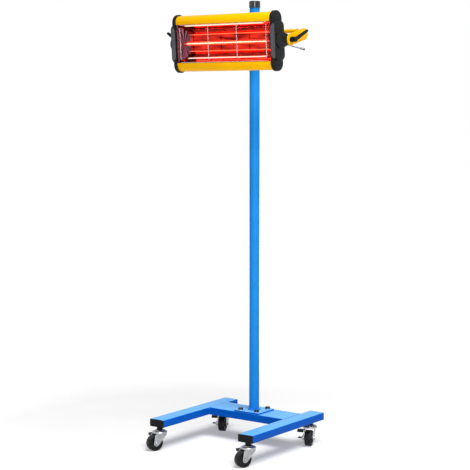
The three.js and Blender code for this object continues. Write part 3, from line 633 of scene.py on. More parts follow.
def rectangular_tube(low, high):
    """A welded steel tube with rolled corners, open at its ends."""
    piece = block(low, high)
    round_edges(piece, lambda at, way: abs(way.y) > 0.9, LEG_CORNER)
    select("FACE", lambda at, normal: abs(normal.y) > 0.9)
    bpy.ops.mesh.delete(type="FACE")
    return modify(end(), "SOLIDIFY", thickness=LEG_WALL, offset=-1)


def make_legs():
    for side in ("left", "right"):
        node = f"leg_{side}"
        dress(rectangular_tube(*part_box(node)), f"leg_tube_{side}", "stand", BLUE, node)


def make_channel():
    """The pressed channel between the legs, with its bent upper edges and a weld in each corner."""
    low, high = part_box("cross_channel")
    piece = block(low, high)
    round_edges(piece, lambda at, way: abs(way.x) > 0.9 and at.z > high.z - TINY, CHANNEL_WALL)
    select("FACE", lambda at, normal: abs(normal.x) > 0.9 or normal.z < -0.9)
    bpy.ops.mesh.delete(type="FACE")
    modify(end(), "SOLIDIFY", thickness=CHANNEL_WALL, offset=-1)
    dress(piece, "base_channel", "stand", BLUE, "cross_channel")
    beads = [placed(ripple(BEAD, low.z + BEAD, high.z - BEAD, BEAD / 2), (x, y, 0))
             for x in (low.x, high.x) for y in (low.y, high.y)]
    dress(joined(*beads), "channel_welds", "stand", BLUE)


PLUG_FLANGE = 0.003
PLUG_EDGE = 0.0009
PLUG_RAISE = 0.006  # keeps the skirt over the caster stem's nut


def make_plugs():
    """Moulded plugs: a flange over the tube's end and a skirt inside it."""
    for place in PLACES:
        node = f"leg_plug_{place}"
        low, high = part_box(node)
        out = -1 if place.startswith("front") else 1
        face = low.y if out < 0 else high.y
        start, stop = sorted((face, face - out * PLUG_FLANGE))
        flange = block((low.x, start, low.z), (high.x, stop, high.z))
        round_edges(flange, lambda at, way: abs(way.y) > 0.9, LEG_CORNER)
        soften(end(), PLUG_EDGE)
        wall = LEG_WALL + PLUG_EDGE
        start, stop = sorted((face - out * PLUG_FLANGE / 2, face - out * (high.y - low.y)))
        skirt = block((low.x + wall, start, low.z + wall + PLUG_RAISE), (high.x - wall, stop, high.z - wall))
        dress(joined(flange, skirt), f"leg_end_plug_{place}", "stand", NYLON, node)


HEX = 0.013  # an M8 bolt's head across its flats
HEX_CHAMFER = 0.0012
BOLT = 0.004  # the radius of an M8 bolt or stud
WASHER = 0.0016


def make_foot():
    """The foot plate with the weld round the pole, its bolts and their washers."""
    low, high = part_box("foot_plate")
    top = POLE_LOW.z
    rounded_plate(high.x - low.x, high.y - low.y, 0.005, top - low.z)
    plate = soften(end())
    placed(plate, (POLE.x, POLE.y, low.z))
    begin(bpy.ops.mesh.primitive_torus_add, major_radius=POLE_RADIUS + 0.001, minor_radius=0.0028,
          major_segments=ROUND * 2, minor_segments=WIRE)
    pitch = 2 * math.pi / (ROUND / 2)
    select("VERT", lambda at: (math.atan2(at.y, at.x) / pitch) % 1 < 0.45)
    scale(1.012, 1.012, 1.1, (0, 0, 0))
    tidy_shell()
    bead = placed(end(), (POLE.x, POLE.y, top))
    dress(joined(plate, bead), "pole_foot_plate", "stand", BLUE, "foot_plate")
    for number in range(1, 5):
        node = f"foot_bolt_{number}"
        low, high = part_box(node)
        x, y = (low.x + high.x) / 2, (low.y + high.y) / 2
        washer_top = top + WASHER
        head = hexagon(HEX, washer_top, high.z, HEX_CHAMFER)
        nut = hexagon(HEX, low.z + 0.004, LEG_HIGH.z - CHANNEL_WALL, HEX_CHAMFER)
        shank = rod(BOLT, low.z, washer_top + 0.001, edge=0.0006)
        bolt = placed(joined(head, nut, shank), (x, y, 0))
        dress(bolt, f"foot_bolt_and_nut_{number}", "stand", BLACK_OXIDE, node)
        washer = soften(ring(0.0043, 0.008, top, washer_top), BREAK, 2)
        dress(placed(washer, (x, y, 0)), f"foot_washer_{number}", "stand", ZINC)


POLE_WALL = 0.0015


def make_pole():
    tube = soften(ring(POLE_RADIUS - POLE_WALL, POLE_RADIUS, POLE_LOW.z, POLE_HIGH.z, FINE), BREAK, 2)
    dress(placed(tube, (POLE.x, POLE.y, 0)), "pole_tube", "stand", POLE_BLUE_PAINTED_LIGHTER, "pole")
    low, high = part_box("pole_cap")
    outer = (high.x - low.x) / 2
    bore = POLE_RADIUS + GAP
    edge, roll = 0.0004, 0.0028
    profile = [(bore, low.z), (outer - edge, low.z), (outer, low.z + edge), (outer, high.z - 0.004)]
    profile += arc(outer - roll, high.z - edge - roll, roll, 15, 90, 5)
    profile += [(outer / 2, high.z - 0.0001), (0.0004, high.z), (0.0003, high.z - 0.0012),
                (bore, high.z - 0.0042), (bore, low.z)]
    cap = placed(turned(profile, FINE), (POLE.x, POLE.y, 0))
    dress(cap, "pole_end_cap", "stand", GLOSS, "pole_cap")


# Casters, modelled round the stem's axis with the leg's underside at Z = 0 and the trail along +X

CASTER_TOP = LEG_LOW.z
WHEEL_RADIUS = JOINTS["wheel_spin_front_left"]["pos_m"][2]
AXLE_Z = WHEEL_RADIUS - CASTER_TOP
TRAIL = 0.017
AXLE = (TRAIL, 0, AXLE_Z)
WHEEL_HALF = 0.01
CHEEK_IN = 0.0125
CHEEK_OUT = 0.0147
BRAKE_SHEET = 0.0018
BRAKE_REACH = 0.018
FORK_TOP = -0.013


def caster_stem():
    rivet_top = FORK_TOP - 0.0025
    stem = turned([(0.007, rivet_top - 0.0026), (0.0085, rivet_top - 0.0014), (0.0085, rivet_top),
                   (0.0046, rivet_top), (0.0046, -0.0127), (0.014, -0.0127), (0.015, -0.012),
                   (0.015, -0.0112), (0.0136, -0.01), (0.005, -0.01), (0.005, 0.0115),
                   (0.0042, 0.0124)], SMALL)
    nut = hexagon(0.017, 0.002, 0.01, 0.0014)
    return joined(stem, nut)


def caster_spacer():
    """The black sleeve between the swivel's cup and the leg."""
    return turned([(0.0052, -0.0098), (0.008, -0.0098), (0.0085, -0.0092), (0.0085, -0.0008), (0.008, -0.0002),
                   (0.0052, -0.0002), (0.0052, -0.0098)], SMALL)


def caster_fork():
    """One pressing: a dished, rolled head that turns down into two tapered cheeks."""
    bore, r, low = 0.0056, 0.022, FORK_TOP - 0.005
    sheet = CHEEK_OUT - CHEEK_IN
    roll = 0.0028
    profile = [(bore, FORK_TOP)] + arc(r - roll, FORK_TOP - roll, roll, 90, 0, 5)
    profile += [(r, low), (r - sheet, low), (r - sheet, FORK_TOP - roll), (r - roll - 0.0008, FORK_TOP - sheet),
                (bore, FORK_TOP - sheet), (bore, FORK_TOP)]
    head = turned(profile)
    half, drop = 0.0155, FORK_TOP - sheet / 2
    outline = [(-half, drop), (-half, low - 0.006)] + arc(TRAIL, AXLE_Z, 0.0085, 220, 360)
    outline += [(0.02125, low - 0.005), (half, low), (half, drop)]
    cheeks = []
    for y in (-CHEEK_OUT, CHEEK_IN):
        cheek = soften(plate(outline, sheet), 0.0005, 2)
        cheeks.append(placed(cheek, (0, y + sheet, 0), ALONG_Y))
    return joined(head, *cheeks)


def caster_tyre():
    """The rubber tread with its rounded shoulders."""
    half, rim, shoulder = WHEEL_HALF, WHEEL_RADIUS - 0.005, 0.003
    crown, bend = WHEEL_RADIUS - shoulder, half - shoulder
    profile = [(rim, -half + 0.0012), (rim + 0.001, -half)] + arc(crown, -bend, shoulder, -90, 0, 5)
    profile += arc(crown, bend, shoulder, 18, 90, 4)
    profile += [(rim + 0.001, half), (rim, half - 0.0012), (rim, -half + 0.0012)]
    return placed(turned(profile, FINE), AXLE, ALONG_Y)


def caster_core():
    """The nylon wheel inside the tread: a dished web, a bead round it and the hub."""
    rim, web, hub, bore = WHEEL_RADIUS - 0.0049, 0.0066, 0.0085, 0.0034
    hub_half = CHEEK_IN - GAP
    half = WHEEL_HALF - 0.0006
    face = [(bore, hub_half), (hub - 0.0008, hub_half), (hub, hub_half - 0.0008), (hub + 0.0006, web + 0.0004),
            (hub + 0.002, web), (rim - 0.0042, web), (rim - 0.0026, web + 0.0006), (rim - 0.0018, half),
            (rim, half)]
    profile = [(radius, -height) for radius, height in face] + face[::-1] + [(bore, -hub_half)]
    return placed(turned(profile, FINE), AXLE, ALONG_Y)


def caster_axle():
    head_in = CHEEK_OUT + GAP
    nut_in = head_in + BRAKE_SHEET + GAP
    shank = rod(0.003, -head_in - 0.002, nut_in + 0.0038, edge=0.0004)
    head = turned([(0.005, head_in), (0.005, head_in + 0.0016), (0.0042, head_in + 0.003),
                   (0.0024, head_in + 0.0038), (0.0004, head_in + 0.004)], SMALL)
    nut = hexagon(0.01, nut_in, nut_in + 0.0038, 0.0009)
    return placed(joined(placed(head, turn=(math.pi, 0, 0)), nut, shank), AXLE, ALONG_Y)


def brake_plate():
    """The rocker plate beside the wheel: an eye round the axle, a pad above and a toe behind."""
    outline = arc(0, 0, 0.007, 225, 378) + [(0.003, 0.0235), (-0.013, 0.0235)]
    rocker = soften(plate(outline, BRAKE_SHEET), 0.0004, 2)
    toe = soften(link(0.0048, 0.004, -0.0125, -0.0012, BRAKE_SHEET), 0.0004, 2)
    return placed(joined(rocker, toe), (TRAIL, -CHEEK_OUT - GAP, AXLE_Z), ALONG_Y)


def brake_tabs():
    """The two ribbed foot tabs that stand out from the plate."""
    inner = -CHEEK_OUT - GAP
    outer = inner - BRAKE_SHEET - BRAKE_REACH
    tabs = []
    for x0, x1, z0, z1 in ((-0.013, 0.003, 0.016, 0.0235), (-0.02, -0.01, -0.005, -0.002)):
        tabs.append(soften(block((x0, outer, z0), (x1, inner - BRAKE_SHEET / 2, z1)), 0.0008))
        for number in range(1, 5):
            y = outer + number * 0.003
            rib = block((x0 + 0.0015, y, z1 - 0.001), (x1 - 0.0015, y + 0.0012, z1 - 0.0001))
            tabs.append(soften(rib, BREAK, 2))
    return placed(joined(*tabs), AXLE)


def make_casters():
    parts = [
        ("caster_stem_and_cup", caster_stem(), "stand", ZINC, "caster_stem"),
        ("caster_spacer", caster_spacer(), "stand", NYLON, "caster_stem"),
        ("caster_fork_pressing", caster_fork(), "swivel_", ZINC, "caster_fork"),
        ("caster_axle_bolt", caster_axle(), "swivel_", ZINC, "caster_axle"),
        ("caster_tyre", caster_tyre(), "wheel_", RUBBER, "caster_wheel"),
        ("caster_wheel_core", caster_core(), "wheel_", WHEEL_NYLON, "caster_wheel"),
        ("brake_rocker", brake_plate(), "brake_", ZINC, "caster_brake"),
        ("brake_foot_tabs", brake_tabs(), "brake_", NYLON, "caster_brake"),
    ]
    for place in PLACES:
        stem = Vector(JOINTS[f"swivel_turn_{place}"]["pos_m"])
        way = Vector(JOINTS[f"wheel_spin_{place}"]["pos_m"]) - stem
        for name, piece, body, finish, node in parts:
            one = placed(copied(piece), (stem.x, stem.y, CASTER_TOP), (0, 0, math.atan2(way.y, way.x)))
            rides = body + place if body.endswith("_") else body
            dress(one, f"{name}_{place}", rides, finish, f"{node}_{place}")
    for _, piece, *_ in parts:
        bpy.data.objects.remove(piece)


# Height clamp: drawn with its ears along +X, then turned round the pole

COLLAR_TURN = math.radians(36)
COLLAR_BORE = 0.0154
COLLAR_RADIUS = 0.022
SLIT_HALF = 0.0015
EAR_HALF = 0.01
EAR_OUT = COLLAR_RADIUS + 0.015
CLAMP_BOLT_OUT = EAR_OUT - 0.02 / 3
LEVER_SEAT = EAR_HALF + GAP
LEVER_HUB = 0.012
LEVER_LONG = 0.12
LEVER_DROOP = math.radians(16)


def make_height_clamp():
    low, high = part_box("height_collar")
    half = (high.z - low.z) / 2
    at = (POLE.x, POLE.y, (low.z + high.z) / 2)
    turn = (0, 0, COLLAR_TURN)
    collar = ring(COLLAR_BORE, COLLAR_RADIUS, -half, half, FINE)
    soften(cut_away(collar, block((0, -SLIT_HALF, -0.03), (EAR_OUT, SLIT_HALF, 0.03))))
    ears = []
    for near, far in ((-EAR_HALF, -SLIT_HALF), (SLIT_HALF, EAR_HALF)):
        ear = block((0.018, near, -half), (EAR_OUT, far, half))
        round_edges(ear, lambda at, way: abs(way.y) > 0.9 and at.x > EAR_OUT - 0.001, 0.006, 6)
        ears.append(soften(end()))
    dress(placed(joined(collar, *ears), at, turn), "height_clamp_collar", "height_clamp", NYLON, "height_collar")

    head = hexagon(HEX, LEVER_SEAT, LEVER_SEAT + 0.005, HEX_CHAMFER)
    shank = rod(BOLT, -LEVER_SEAT - 0.006, LEVER_SEAT + 0.0025, edge=0.0004)
    bolt = placed(placed(joined(head, shank), turn=(-math.pi / 2, 0, 0)), (CLAMP_BOLT_OUT, 0, 0))
    dress(placed(bolt, at, turn), "clamp_through_bolt", "height_clamp", BLACK_OXIDE, "height_clamp_bolt")

    hub_end = LEVER_SEAT + LEVER_HUB
    hub = turned([(0.0044, LEVER_SEAT), (0.0069, LEVER_SEAT), (0.0075, LEVER_SEAT + 0.0006),
                  (0.0075, hub_end - 0.001), (0.0065, hub_end), (0.0044, hub_end)], SMALL)
    hub = placed(hub, turn=ALONG_Y)
    bar = rod(0.0022, 0, LEVER_LONG, SMALL, 0.0006)
    grip = turned([(0.0024, LEVER_LONG - 0.014), (0.0032, LEVER_LONG - 0.0132), (0.0032, LEVER_LONG - 0.0002),
                   (0.0028, LEVER_LONG + 0.0006), (0.0014, LEVER_LONG + 0.001)], SMALL)
    bar = placed(joined(bar, grip), (0, 0.015 / 4 - hub_end, 0), OVER_Y)
    lever = placed(joined(hub, bar), (CLAMP_BOLT_OUT, 0, 0), (0, LEVER_DROOP, 0))
    dress(placed(lever, at, turn), "height_clamp_lever", "height_lever", DARK_ROD, "height_lever")


# Yoke

GUSSET = 0.004


def make_yoke():
    low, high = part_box("yoke_sleeve")
    bar_low, bar_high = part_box("yoke_bar")
    bar_y, bar_z = (bar_low.y + bar_high.y) / 2, (bar_low.z + bar_high.z) / 2
    sleeve_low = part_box("height_collar")[1].z + GAP
    radius = (high.x - low.x) / 2
    sleeve = soften(ring(COLLAR_BORE, radius, sleeve_low, high.z, FINE), 0.0008)
    placed(sleeve, (POLE.x, POLE.y, 0))
    nose = 0.009
    reach = POLE.y - radius * 0.8 - bar_y
    foot = sleeve_low + 0.002 - bar_z
    outline = arc(0, 0, nose, 90, 270) + [(reach, foot), (reach, foot + 0.028)]
    cheeks = []
    for x in (-0.014, 0.01):
        cheek = soften(plate(outline, GUSSET))
        cheeks.append(placed(cheek, (x, bar_y, bar_z), ALONG_X))
    dress(joined(sleeve, *cheeks), "yoke_sleeve_and_gussets", "yoke", YELLOW, "yoke_sleeve")

    half = (bar_high.x - bar_low.x) / 2
    bar = rod(bar_high.z - bar_z, -half, half, ROUND)
    for side in (-1, 1):
        bead = [(0.0054, half), (0.0072, half), (0.007, half - 0.0008), (0.0062, half - 0.0016),
                (0.0054, half - 0.002), (0.0054, half)]
        bar = joined(bar, turned([(around, side * along) for around, along in bead], SMALL))
    dress(placed(bar, (0, bar_y, bar_z), ALONG_X), "yoke_cross_bar", "yoke", YELLOW, "yoke_bar")

    arm_back, arm_rise, arm_end = 0.069, 0.018, 0.0165
    for side in ("left", "right"):
        low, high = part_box(f"yoke_arm_{side}")
        arm = soften(link(arm_end, arm_end, arm_back, arm_rise, high.x - low.x, ROUND))
        arm = placed(arm, (low.x, TILT.y, TILT.z), ALONG_X)
        dress(arm, f"yoke_side_arm_{side}", "yoke", YELLOW, f"yoke_arm_{side}")


# Clamping levers, drawn on the tilt axis with the hub towards +X and the arm along +Y

LEVER_LIFTS = {"left": math.radians(152), "right": math.radians(27)}


def clamp_lever():
    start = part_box("yoke_arm_right")[1].x + GAP
    stop = start + 0.018
    stud = rod(BOLT, LUG_IN, start + 0.001, SMALL, 0.0004)
    hub = turned([(0.0068, start), (0.0075, start + 0.0007), (0.0075, stop - 0.006), (0.0073, stop - 0.0006),
                  (0.0068, stop), (0.006, stop + 0.0009), (0.004, stop + 0.0018), (0.002, stop + 0.0023),
                  (0.0004, stop + 0.0025)], SMALL)
    turn_up = placed(joined(stud, hub), turn=ALONG_X)
    arm = link(0.0055, 0.00375, 0.06 - 0.00375, 0, 0.006, ROUND)
    edit(arm)
    select("VERT", lambda at: at.x > 0.03)
    move(z=0.005)
    tidy_shell()
    arm = soften(end(), 0.0014, 4)
    return joined(turn_up, placed(arm, (stop - 0.006, 0, 0), ALONG_X))


def make_clamp_levers():
    lever = clamp_lever()
    at = (0, TILT.y, TILT.z)
    right = placed(copied(lever), at, (LEVER_LIFTS["right"], 0, 0))
    dress(right, "tilt_clamp_lever_right", "clamp_right", NYLON, "clamp_lever_right")
    left = placed(mirrored(lever), at, (LEVER_LIFTS["left"], 0, 0))
    dress(left, "tilt_clamp_lever_left", "clamp_left", NYLON, "clamp_lever_left")
    bpy.data.objects.remove(lever)


# Lamp head: drawn round its own centre, looking along -Y, then tilted and put in its place

SHELL_RADIUS = 0.0195
SHELL_HALF = 0.0805  # half the shell's height
SHELL = 0.002
LIP = 0.004
OPENING = 0.055  # half its height
CAP_RADIUS = 0.023
CAP_HALF = 0.084
CAP_RIM = 0.003
CAP_PLATE = 0.009
CAP_ROUND = 0.0034
PAD_THICK = 0.007
PAD_HALF = 0.057
LUG_BACK = 0.046  # from the head's centre line back to the tilt axis
LUG_UP = 0.0018
LUG_THICK = 0.012
SCREW_UP = 0.069


def dress_head(piece, name, finish, *nodes):
    """Tilts a piece of the head, puts it in its place and dresses it."""
    return dress(placed(piece, HEAD, (HEAD_TILT, 0, 0)), name, "head", finish, *nodes)


def dress_both(right, name, finish, *nodes):
    """Dresses the head's right piece and a mirrored left one."""
    for piece, side in ((right, "right"), (mirrored(right), "left")):
        dress_head(piece, f"{name}_{side}", finish, *[f"{node}_{side}" for node in nodes])


def face_out(sheet):
    """Turns an open sheet's faces away from the head's middle, going by its rearmost face."""
    edit(sheet)
    tidy_shell()
    faces = bmesh.from_edit_mesh(sheet.data).faces
    if max(faces, key=lambda face: face.calc_center_median().y).normal.y < 0:
        bpy.ops.mesh.flip_normals()
    return end()


def make_housing():
    """The yellow shell: a flat-sided extrusion with round upper and lower edges and a lipped window in front."""
    section = stadium(SHELL_RADIUS, SHELL_HALF)
    turns = SMALL + 1  # points in each of its two arcs
    lip = [(-SHELL_RADIUS, OPENING), (LIP - SHELL_RADIUS, OPENING)]
    drawn([(x, -y) for x, y in lip[::-1]] + section[turns:] + section[:turns] + lip)
    extrude(z=2 * HOUSING_HIGH.x)
    shell = face_out(placed(end(), (-HOUSING_HIGH.x, 0, 0), ALONG_X))
    modify(shell, "SOLIDIFY", thickness=SHELL, offset=-1)
    soften(shell, 0.0005, 2)
    dress_head(shell, "head_shell", YELLOW, "head_housing")


def end_cap():
    """The right end cap: a rimmed cover, a raised pad with tapered ends, a round boss and the pivot lug."""
    thick = HOUSING_HIGH.x + CAP_PLATE - CAP_LOW.x
    round_edges(plate(stadium(CAP_RADIUS, CAP_HALF), thick), lambda at, way: at.z > thick - TINY, CAP_ROUND)
    select("FACE", lambda at, normal: normal.z < -0.9)
    bpy.ops.mesh.inset(thickness=CAP_RADIUS - SHELL_RADIUS - GAP)
    extrude(z=CAP_RIM)
    tidy_shell()
    cover = end()

    pad_rise = PAD_THICK + thick / 2
    rounded_plate(2 * CAP_RADIUS, 2 * PAD_HALF, 0.014, pad_rise)
    select("FACE", lambda at, normal: normal.z > 0.9)
    scale(0.97, 0.93, 1, (0, 0, 0))
    select("EDGE", lambda at, way: at.z > pad_rise - TINY)
    bpy.ops.mesh.bevel(offset=0.0026, segments=4)
    pad = placed(end(), (0, 0, thick / 2))

    top = thick + PAD_THICK + 0.004
    boss = turned([(0.0215, thick / 2), (0.0215, top - 0.0012), (0.0203, top), (0.015, top),
                   (0.0144, top - 0.0008), (0.0136, top - 0.0008), (0.013, top - 0.0002),
                   (0.0008, top - 0.0002)], FINE)

    outline = arc(0, 0, 0.013, -90, 90, SMALL) + [(-LUG_BACK, 0.026), (-LUG_BACK, -0.026)]
    lug = placed(soften(plate(outline, LUG_THICK), 0.001), (LUG_BACK, LUG_UP, LUG_IN - CAP_LOW.x))
    return placed(joined(cover, pad, boss, lug), (CAP_LOW.x, 0, 0), ALONG_X)


def cap_facing():
    """The smooth flat along a cap's front edge, with slanted round ends, in a lighter grey that paints in the
    highlight there.
    """
    near, far, half = HOUSING_HIGH.x - 0.001, HOUSING_HIGH.x + CAP_PLATE + PAD_THICK - 0.0028, 0.05
    slant = far - near
    flat = plate([(near, half - slant / 2), (near, -half + slant / 2), (far, -half), (far, half)][::-1], 0.0008)
    round_edges(flat, lambda at, way: abs(way.z) > 0.9, slant * 0.42, 6)
    return placed(soften(end(), BREAK, 2), (0, 0.0005 - CAP_RADIUS, 0), ALONG_Y)


def cap_screws():
    """The two pan-head screws that hold a cap, with their crossed slots."""
    base = HOUSING_HIGH.x + CAP_PLATE - 0.0008
    head = turned([(0.004, base), (0.004, base + 0.001), (0.0034, base + 0.0018), (0.0022, base + 0.0023),
                   (0.0006, base + 0.0025)], SMALL)
    long, wide = 0.0024, 0.0005  # half the length and width of a slot
    half = [(long, -wide), (long, wide), (wide, wide), (wide, long), (-wide, long), (-wide, wide)]
    cross = half + [(-x, -y) for x, y in half]
    cut_away(head, placed(plate(cross, 0.0027), (0, 0, base + 0.0013)))
    upper = placed(copied(head), (0, SCREW_UP, 0))
    return placed(joined(placed(head, (0, -SCREW_UP, 0)), upper), turn=ALONG_X)


def make_caps():
    dress_both(end_cap(), "head_end_cap", NYLON, "end_cap")
    dress_both(cap_facing(), "cap_facing", NYLON_PAINTED_HIGHLIGHT)
    dress_both(cap_screws(), "cap_screws", BLACK_OXIDE)


# The reflector's folded sheet: flat at the back, then two slopes out to the opening, above and below
TROUGH_FRONT = -0.017
TROUGH_FOLDS = ((0.011, 0.0235), (0.0005, 0.04), (TROUGH_FRONT, 0.0544))  # depth and height of each fold
TROUGH_LINE = [(depth, -height) for depth, height in TROUGH_FOLDS[::-1]] + list(TROUGH_FOLDS)
FOLD_RADIUS = 0.0012
FOLD_ANGLE = math.radians(10)
SHEET = 0.001


def make_reflector():
    """The trough of bright sheet, cut at 45 degrees at both ends, and the plates that close it there."""
    side = HOUSING_HIGH.x - 0.004
    drawn(TROUGH_LINE)
    extrude(z=2 * HOUSING_HIGH.x)
    trough = face_out(placed(end(), (-HOUSING_HIGH.x, 0, 0), ALONG_X))
    modify(trough, "SOLIDIFY", thickness=SHEET, offset=1)
    modify(trough, "BEVEL", width=FOLD_RADIUS, segments=4, limit_method="ANGLE", angle_limit=FOLD_ANGLE)
    edit(trough)
    for sign in (-1, 1):
        slice_off((sign * side, TROUGH_FRONT, 0), (sign, 1, 0))
    tidy_shell()
    trough = dress_head(end(), "reflector_trough", TROUGH, "reflector")
    alone(trough)
    bpy.ops.object.shade_flat()

    right = placed(plate(TROUGH_LINE, 2 * side), turn=ALONG_X)
    edit(right)
    scale(1, 1, 1.012, (0, 0, 0))
    slice_off((side + 1.8 * SHEET, TROUGH_FRONT, 0), (1, 1, 0))
    slice_off((side + 0.4 * SHEET, TROUGH_FRONT, 0), (-1, -1, 0))
    tidy_shell()
    right = end()
    opening = rod(0.0058, -0.05, 0.05, ROUND)
    cut_away(right, placed(opening, (side, TUBE_Y, 0), OVER_Y))
    dress_both(right, "reflector_end_plate", END_PLATE_PAINTED_SHADE, "reflector_end")


def slice_off(at, way):
    """Cuts the edited piece at a plane and closes it there; what lies on the plane's far side goes."""
    everything()
    bpy.ops.mesh.bisect(plane_co=at, plane_no=way, clear_outer=True, use_fill=True)


def make_heater():
    """The quartz tube and the coiled filament inside it."""
    low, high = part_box("quartz_tube")
    outer, half = 0.005, (high.x - low.x) / 2
    tube = placed(ring(outer - 0.0012, outer, -half, half), (0, TUBE_Y, 0), ALONG_X)
    dress_head(tube, "ruby_quartz_tube", QUARTZ, "quartz_tube")

    low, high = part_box("filament")
    length = high.x - low.x
    coil_radius, wire_radius, pitch = 0.0007, 0.0003, 0.0016
    begin(bpy.ops.mesh.primitive_circle_add, vertices=6, radius=wire_radius, fill_type="NOTHING")
    coil = placed(end(), turn=(math.pi / 2, 0, 0))
    placed(coil, (coil_radius, 0, 0))
    turns = round(length * 0.9 / pitch)
    modify(coil, "SCREW", angle=2 * math.pi * turns, screw_offset=length * 0.9, steps=turns * 10,
           render_steps=turns * 10, use_merge_vertices=False, axis="Z", use_normal_calculate=True)
    edit(coil)
    bpy.ops.mesh.select_all(action="DESELECT")
    bpy.ops.mesh.select_mode(type="EDGE")
    bpy.ops.mesh.select_non_manifold()
    bpy.ops.mesh.fill()
    tidy_shell()
    end()
    lead_in = [rod(0.0004, -length * 0.05, 0.0002, 8), rod(0.0004, length * 0.9 - 0.0002, length * 0.95, 8)]
    coil = placed(joined(coil, *lead_in), (low.x + length * 0.05, TUBE_Y, 0), ALONG_X)
    dress_head(coil, "heater_coil", TUNGSTEN, "filament")


GUARD_WIRE = 0.0012  # its radius
GUARD_PITCH = 0.101
GUARD_UPRIGHTS = 4
GUARD_STEM = 0.046  # half the height at which the uprights bend back into the reflector


def guard_upright():
    """One upright: a wire whose two ends bend back into the reflector."""
    drawn([(0.014, -GUARD_STEM), (0, -GUARD_STEM), (0, GUARD_STEM), (0.014, GUARD_STEM)])
    select("VERT", lambda at: at.x < TINY)
    bpy.ops.mesh.bevel(offset=0.003, segments=5, affect="VERTICES")
    end()
    return placed(bent_wire(GUARD_WIRE), turn=ALONG_X)


def make_guard():
    """The guard: upright wires of chromed steel, and the two level wires behind the lips that hold them."""
    front = -SHELL_RADIUS - GUARD_WIRE / 2
    half_x = (GUARD_UPRIGHTS - 1) * GUARD_PITCH / 2
    pieces = []
    for side in (-1, 1):
        rail = rod(GUARD_WIRE, -half_x - GUARD_WIRE, half_x + GUARD_WIRE, WIRE, BREAK)
        z = side * (OPENING - GUARD_WIRE - GAP)
        pieces.append(placed(rail, (0, -SHELL_RADIUS, z), OVER_Y))
    upright = guard_upright()
    for number in range(GUARD_UPRIGHTS):
        pieces.append(placed(copied(upright), (number * GUARD_PITCH - half_x, front, 0)))
    bpy.data.objects.remove(upright)
    dress_head(joined(*pieces), "heater_guard", CHROME, "wire_guard")


def make_gland():
    """The open cable gland in the shell's back: a body with grip flats and a domed nut."""
    inner, face, out = SHELL_RADIUS - 0.0048, SHELL_RADIUS + GAP, SHELL_RADIUS + 0.0133
    nut = turned([(0.0035, inner), (0.008, inner), (0.0085, inner + 0.0006), (0.0085, inner + 0.002),
                  (0.006, inner + 0.0025), (0.006, face), (0.0085, face), (0.0085, face + 0.004),
                  (0.0078, face + 0.0044), (0.0082, face + 0.0052), (0.008, out - 0.004),
                  (0.0066, out - 0.0012), (0.0052, out), (0.0038, out), (0.0035, out - 0.0006),
                  (0.0035, inner)], SMALL)
    gland = placed(placed(nut, turn=(-math.pi / 2, 0, 0)), (-0.06, 0, -0.038))
    dress_head(gland, "cable_gland_body", NYLON, "cable_gland")


def finish_cad_nodes():
    """The nodes whose own shape shows get their surface."""
    for node in ("lamp_holder_left", "lamp_holder_right", "terminal_block"):
        materials = frame["nodes"][node].data.materials
        materials.clear()
        materials.append(CERAMIC)


# Studio

def light_path(tree):
    """1 for what the camera, a reflection or glass sees, 0 for the light that falls on the lamp."""
    path = add(tree, "LightPath").outputs
    seen = path["Is Camera Ray"]
    for ray in ("Is Glossy Ray", "Is Transmission Ray"):
        seen = add(tree, "Math", {0: seen, 1: path[ray]}, {"operation": "MAXIMUM"})
    return seen


WHITE = (1, 1, 1, 1)
FLOOR_SIZE = 30.0
FLOOR_LIFT = 0.28  # light that the floor itself adds where it is looked at, so that it shows white
LIFT_NEAR = 0.8  # distance from the lamp at which the floor's own light begins to grow
LIFT_FAR = 2.6


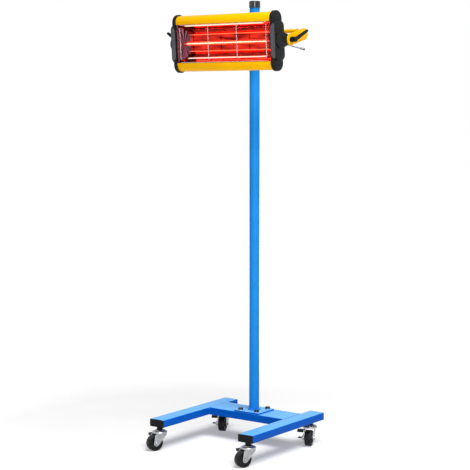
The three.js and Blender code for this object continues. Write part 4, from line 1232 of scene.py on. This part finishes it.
def make_floor():
    """A pale, matt studio floor that shows white, keeps the lamp's shadow and runs into the white backdrop."""
    begin(bpy.ops.mesh.primitive_plane_add, size=FLOOR_SIZE)
    floor = end()
    floor.name = "studio_floor"
    material, tree = surface("pale_studio_floor")
    matt = add(tree, "BsdfDiffuse", {"Color": between(tree, grain(tree, 0.4), "#d6d6d6", "#dadada")})
    place = add(tree, "TexCoord").outputs["Object"]
    away = add(tree, "VectorMath", {0: place}, {"operation": "LENGTH"}).outputs["Value"]
    glow = between(tree, away, FLOOR_LIFT, 1.0, LIFT_NEAR, LIFT_FAR)
    lift = add(tree, "Math", {0: light_path(tree), 1: glow}, {"operation": "MULTIPLY"})
    light = add(tree, "Emission", {"Color": WHITE, "Strength": lift})
    add(tree, "OutputMaterial", {"Surface": add(tree, "AddShader", {0: matt, 1: light})})
    floor.data.materials.append(material)


SKY = 0.14  # the studio's even light, where plain white is 1


def make_world():
    world = bpy.data.worlds.new("studio")
    bpy.context.scene.world = world
    world.use_nodes = True
    tree = world.node_tree
    tree.nodes.clear()
    strength = between(tree, light_path(tree), SKY, 1.0, 0.0, 1.0)
    add(tree, "OutputWorld", {"Surface": add(tree, "Background", {"Color": WHITE, "Strength": strength})})


def staged(name, data, at, turn):
    """Puts a light or the camera in the studio."""
    item = bpy.data.objects.new(name, data)
    bpy.context.scene.collection.objects.link(item)
    item.location = at
    item.rotation_euler = turn
    return item


def softbox(name, place, aim, width, height, power):
    light = bpy.data.lights.new(name, "AREA")
    light.shape = "RECTANGLE"
    light.size = width
    light.size_y = height
    light.energy = power
    staged(name, light, place, (Vector(aim) - Vector(place)).to_track_quat("-Z", "Y").to_euler())


CAMERA_AT = (2.35315, -3.21298, 0.99939)
CAMERA_YAW = math.radians(36.22)
CAMERA_DIP = math.radians(5.33)
CAMERA_LENS = 105.45  # mm, on a 36 mm sensor


def make_camera():
    camera = bpy.data.cameras.new("camera")
    camera.lens = CAMERA_LENS
    camera.sensor_width = 36.0
    camera.clip_end = 100.0
    bpy.context.scene.camera = staged("camera", camera, CAMERA_AT, (math.pi / 2 - CAMERA_DIP, 0, CAMERA_YAW))


make_camera()
make_legs()
make_channel()
make_plugs()
make_foot()
make_pole()
make_casters()
make_height_clamp()
make_yoke()
make_clamp_levers()
make_housing()
make_caps()
make_reflector()
make_heater()
make_guard()
make_gland()
finish_cad_nodes()
make_floor()
make_world()
softbox("key", (3.7, -1.8, 8.4), (0, 0, 0.3), 4.6, 4.6, 920)
softbox("front_strip", (2.55, -3.3, 1.2), (0, 0, 0.65), 0.8, 2.4, 77)
softbox("left_fill", (-2.4, -3.2, 1.5), (0, 0, 0.8), 1.6, 1.6, 5)
bpy.context.scene.view_settings.view_transform = "Standard"
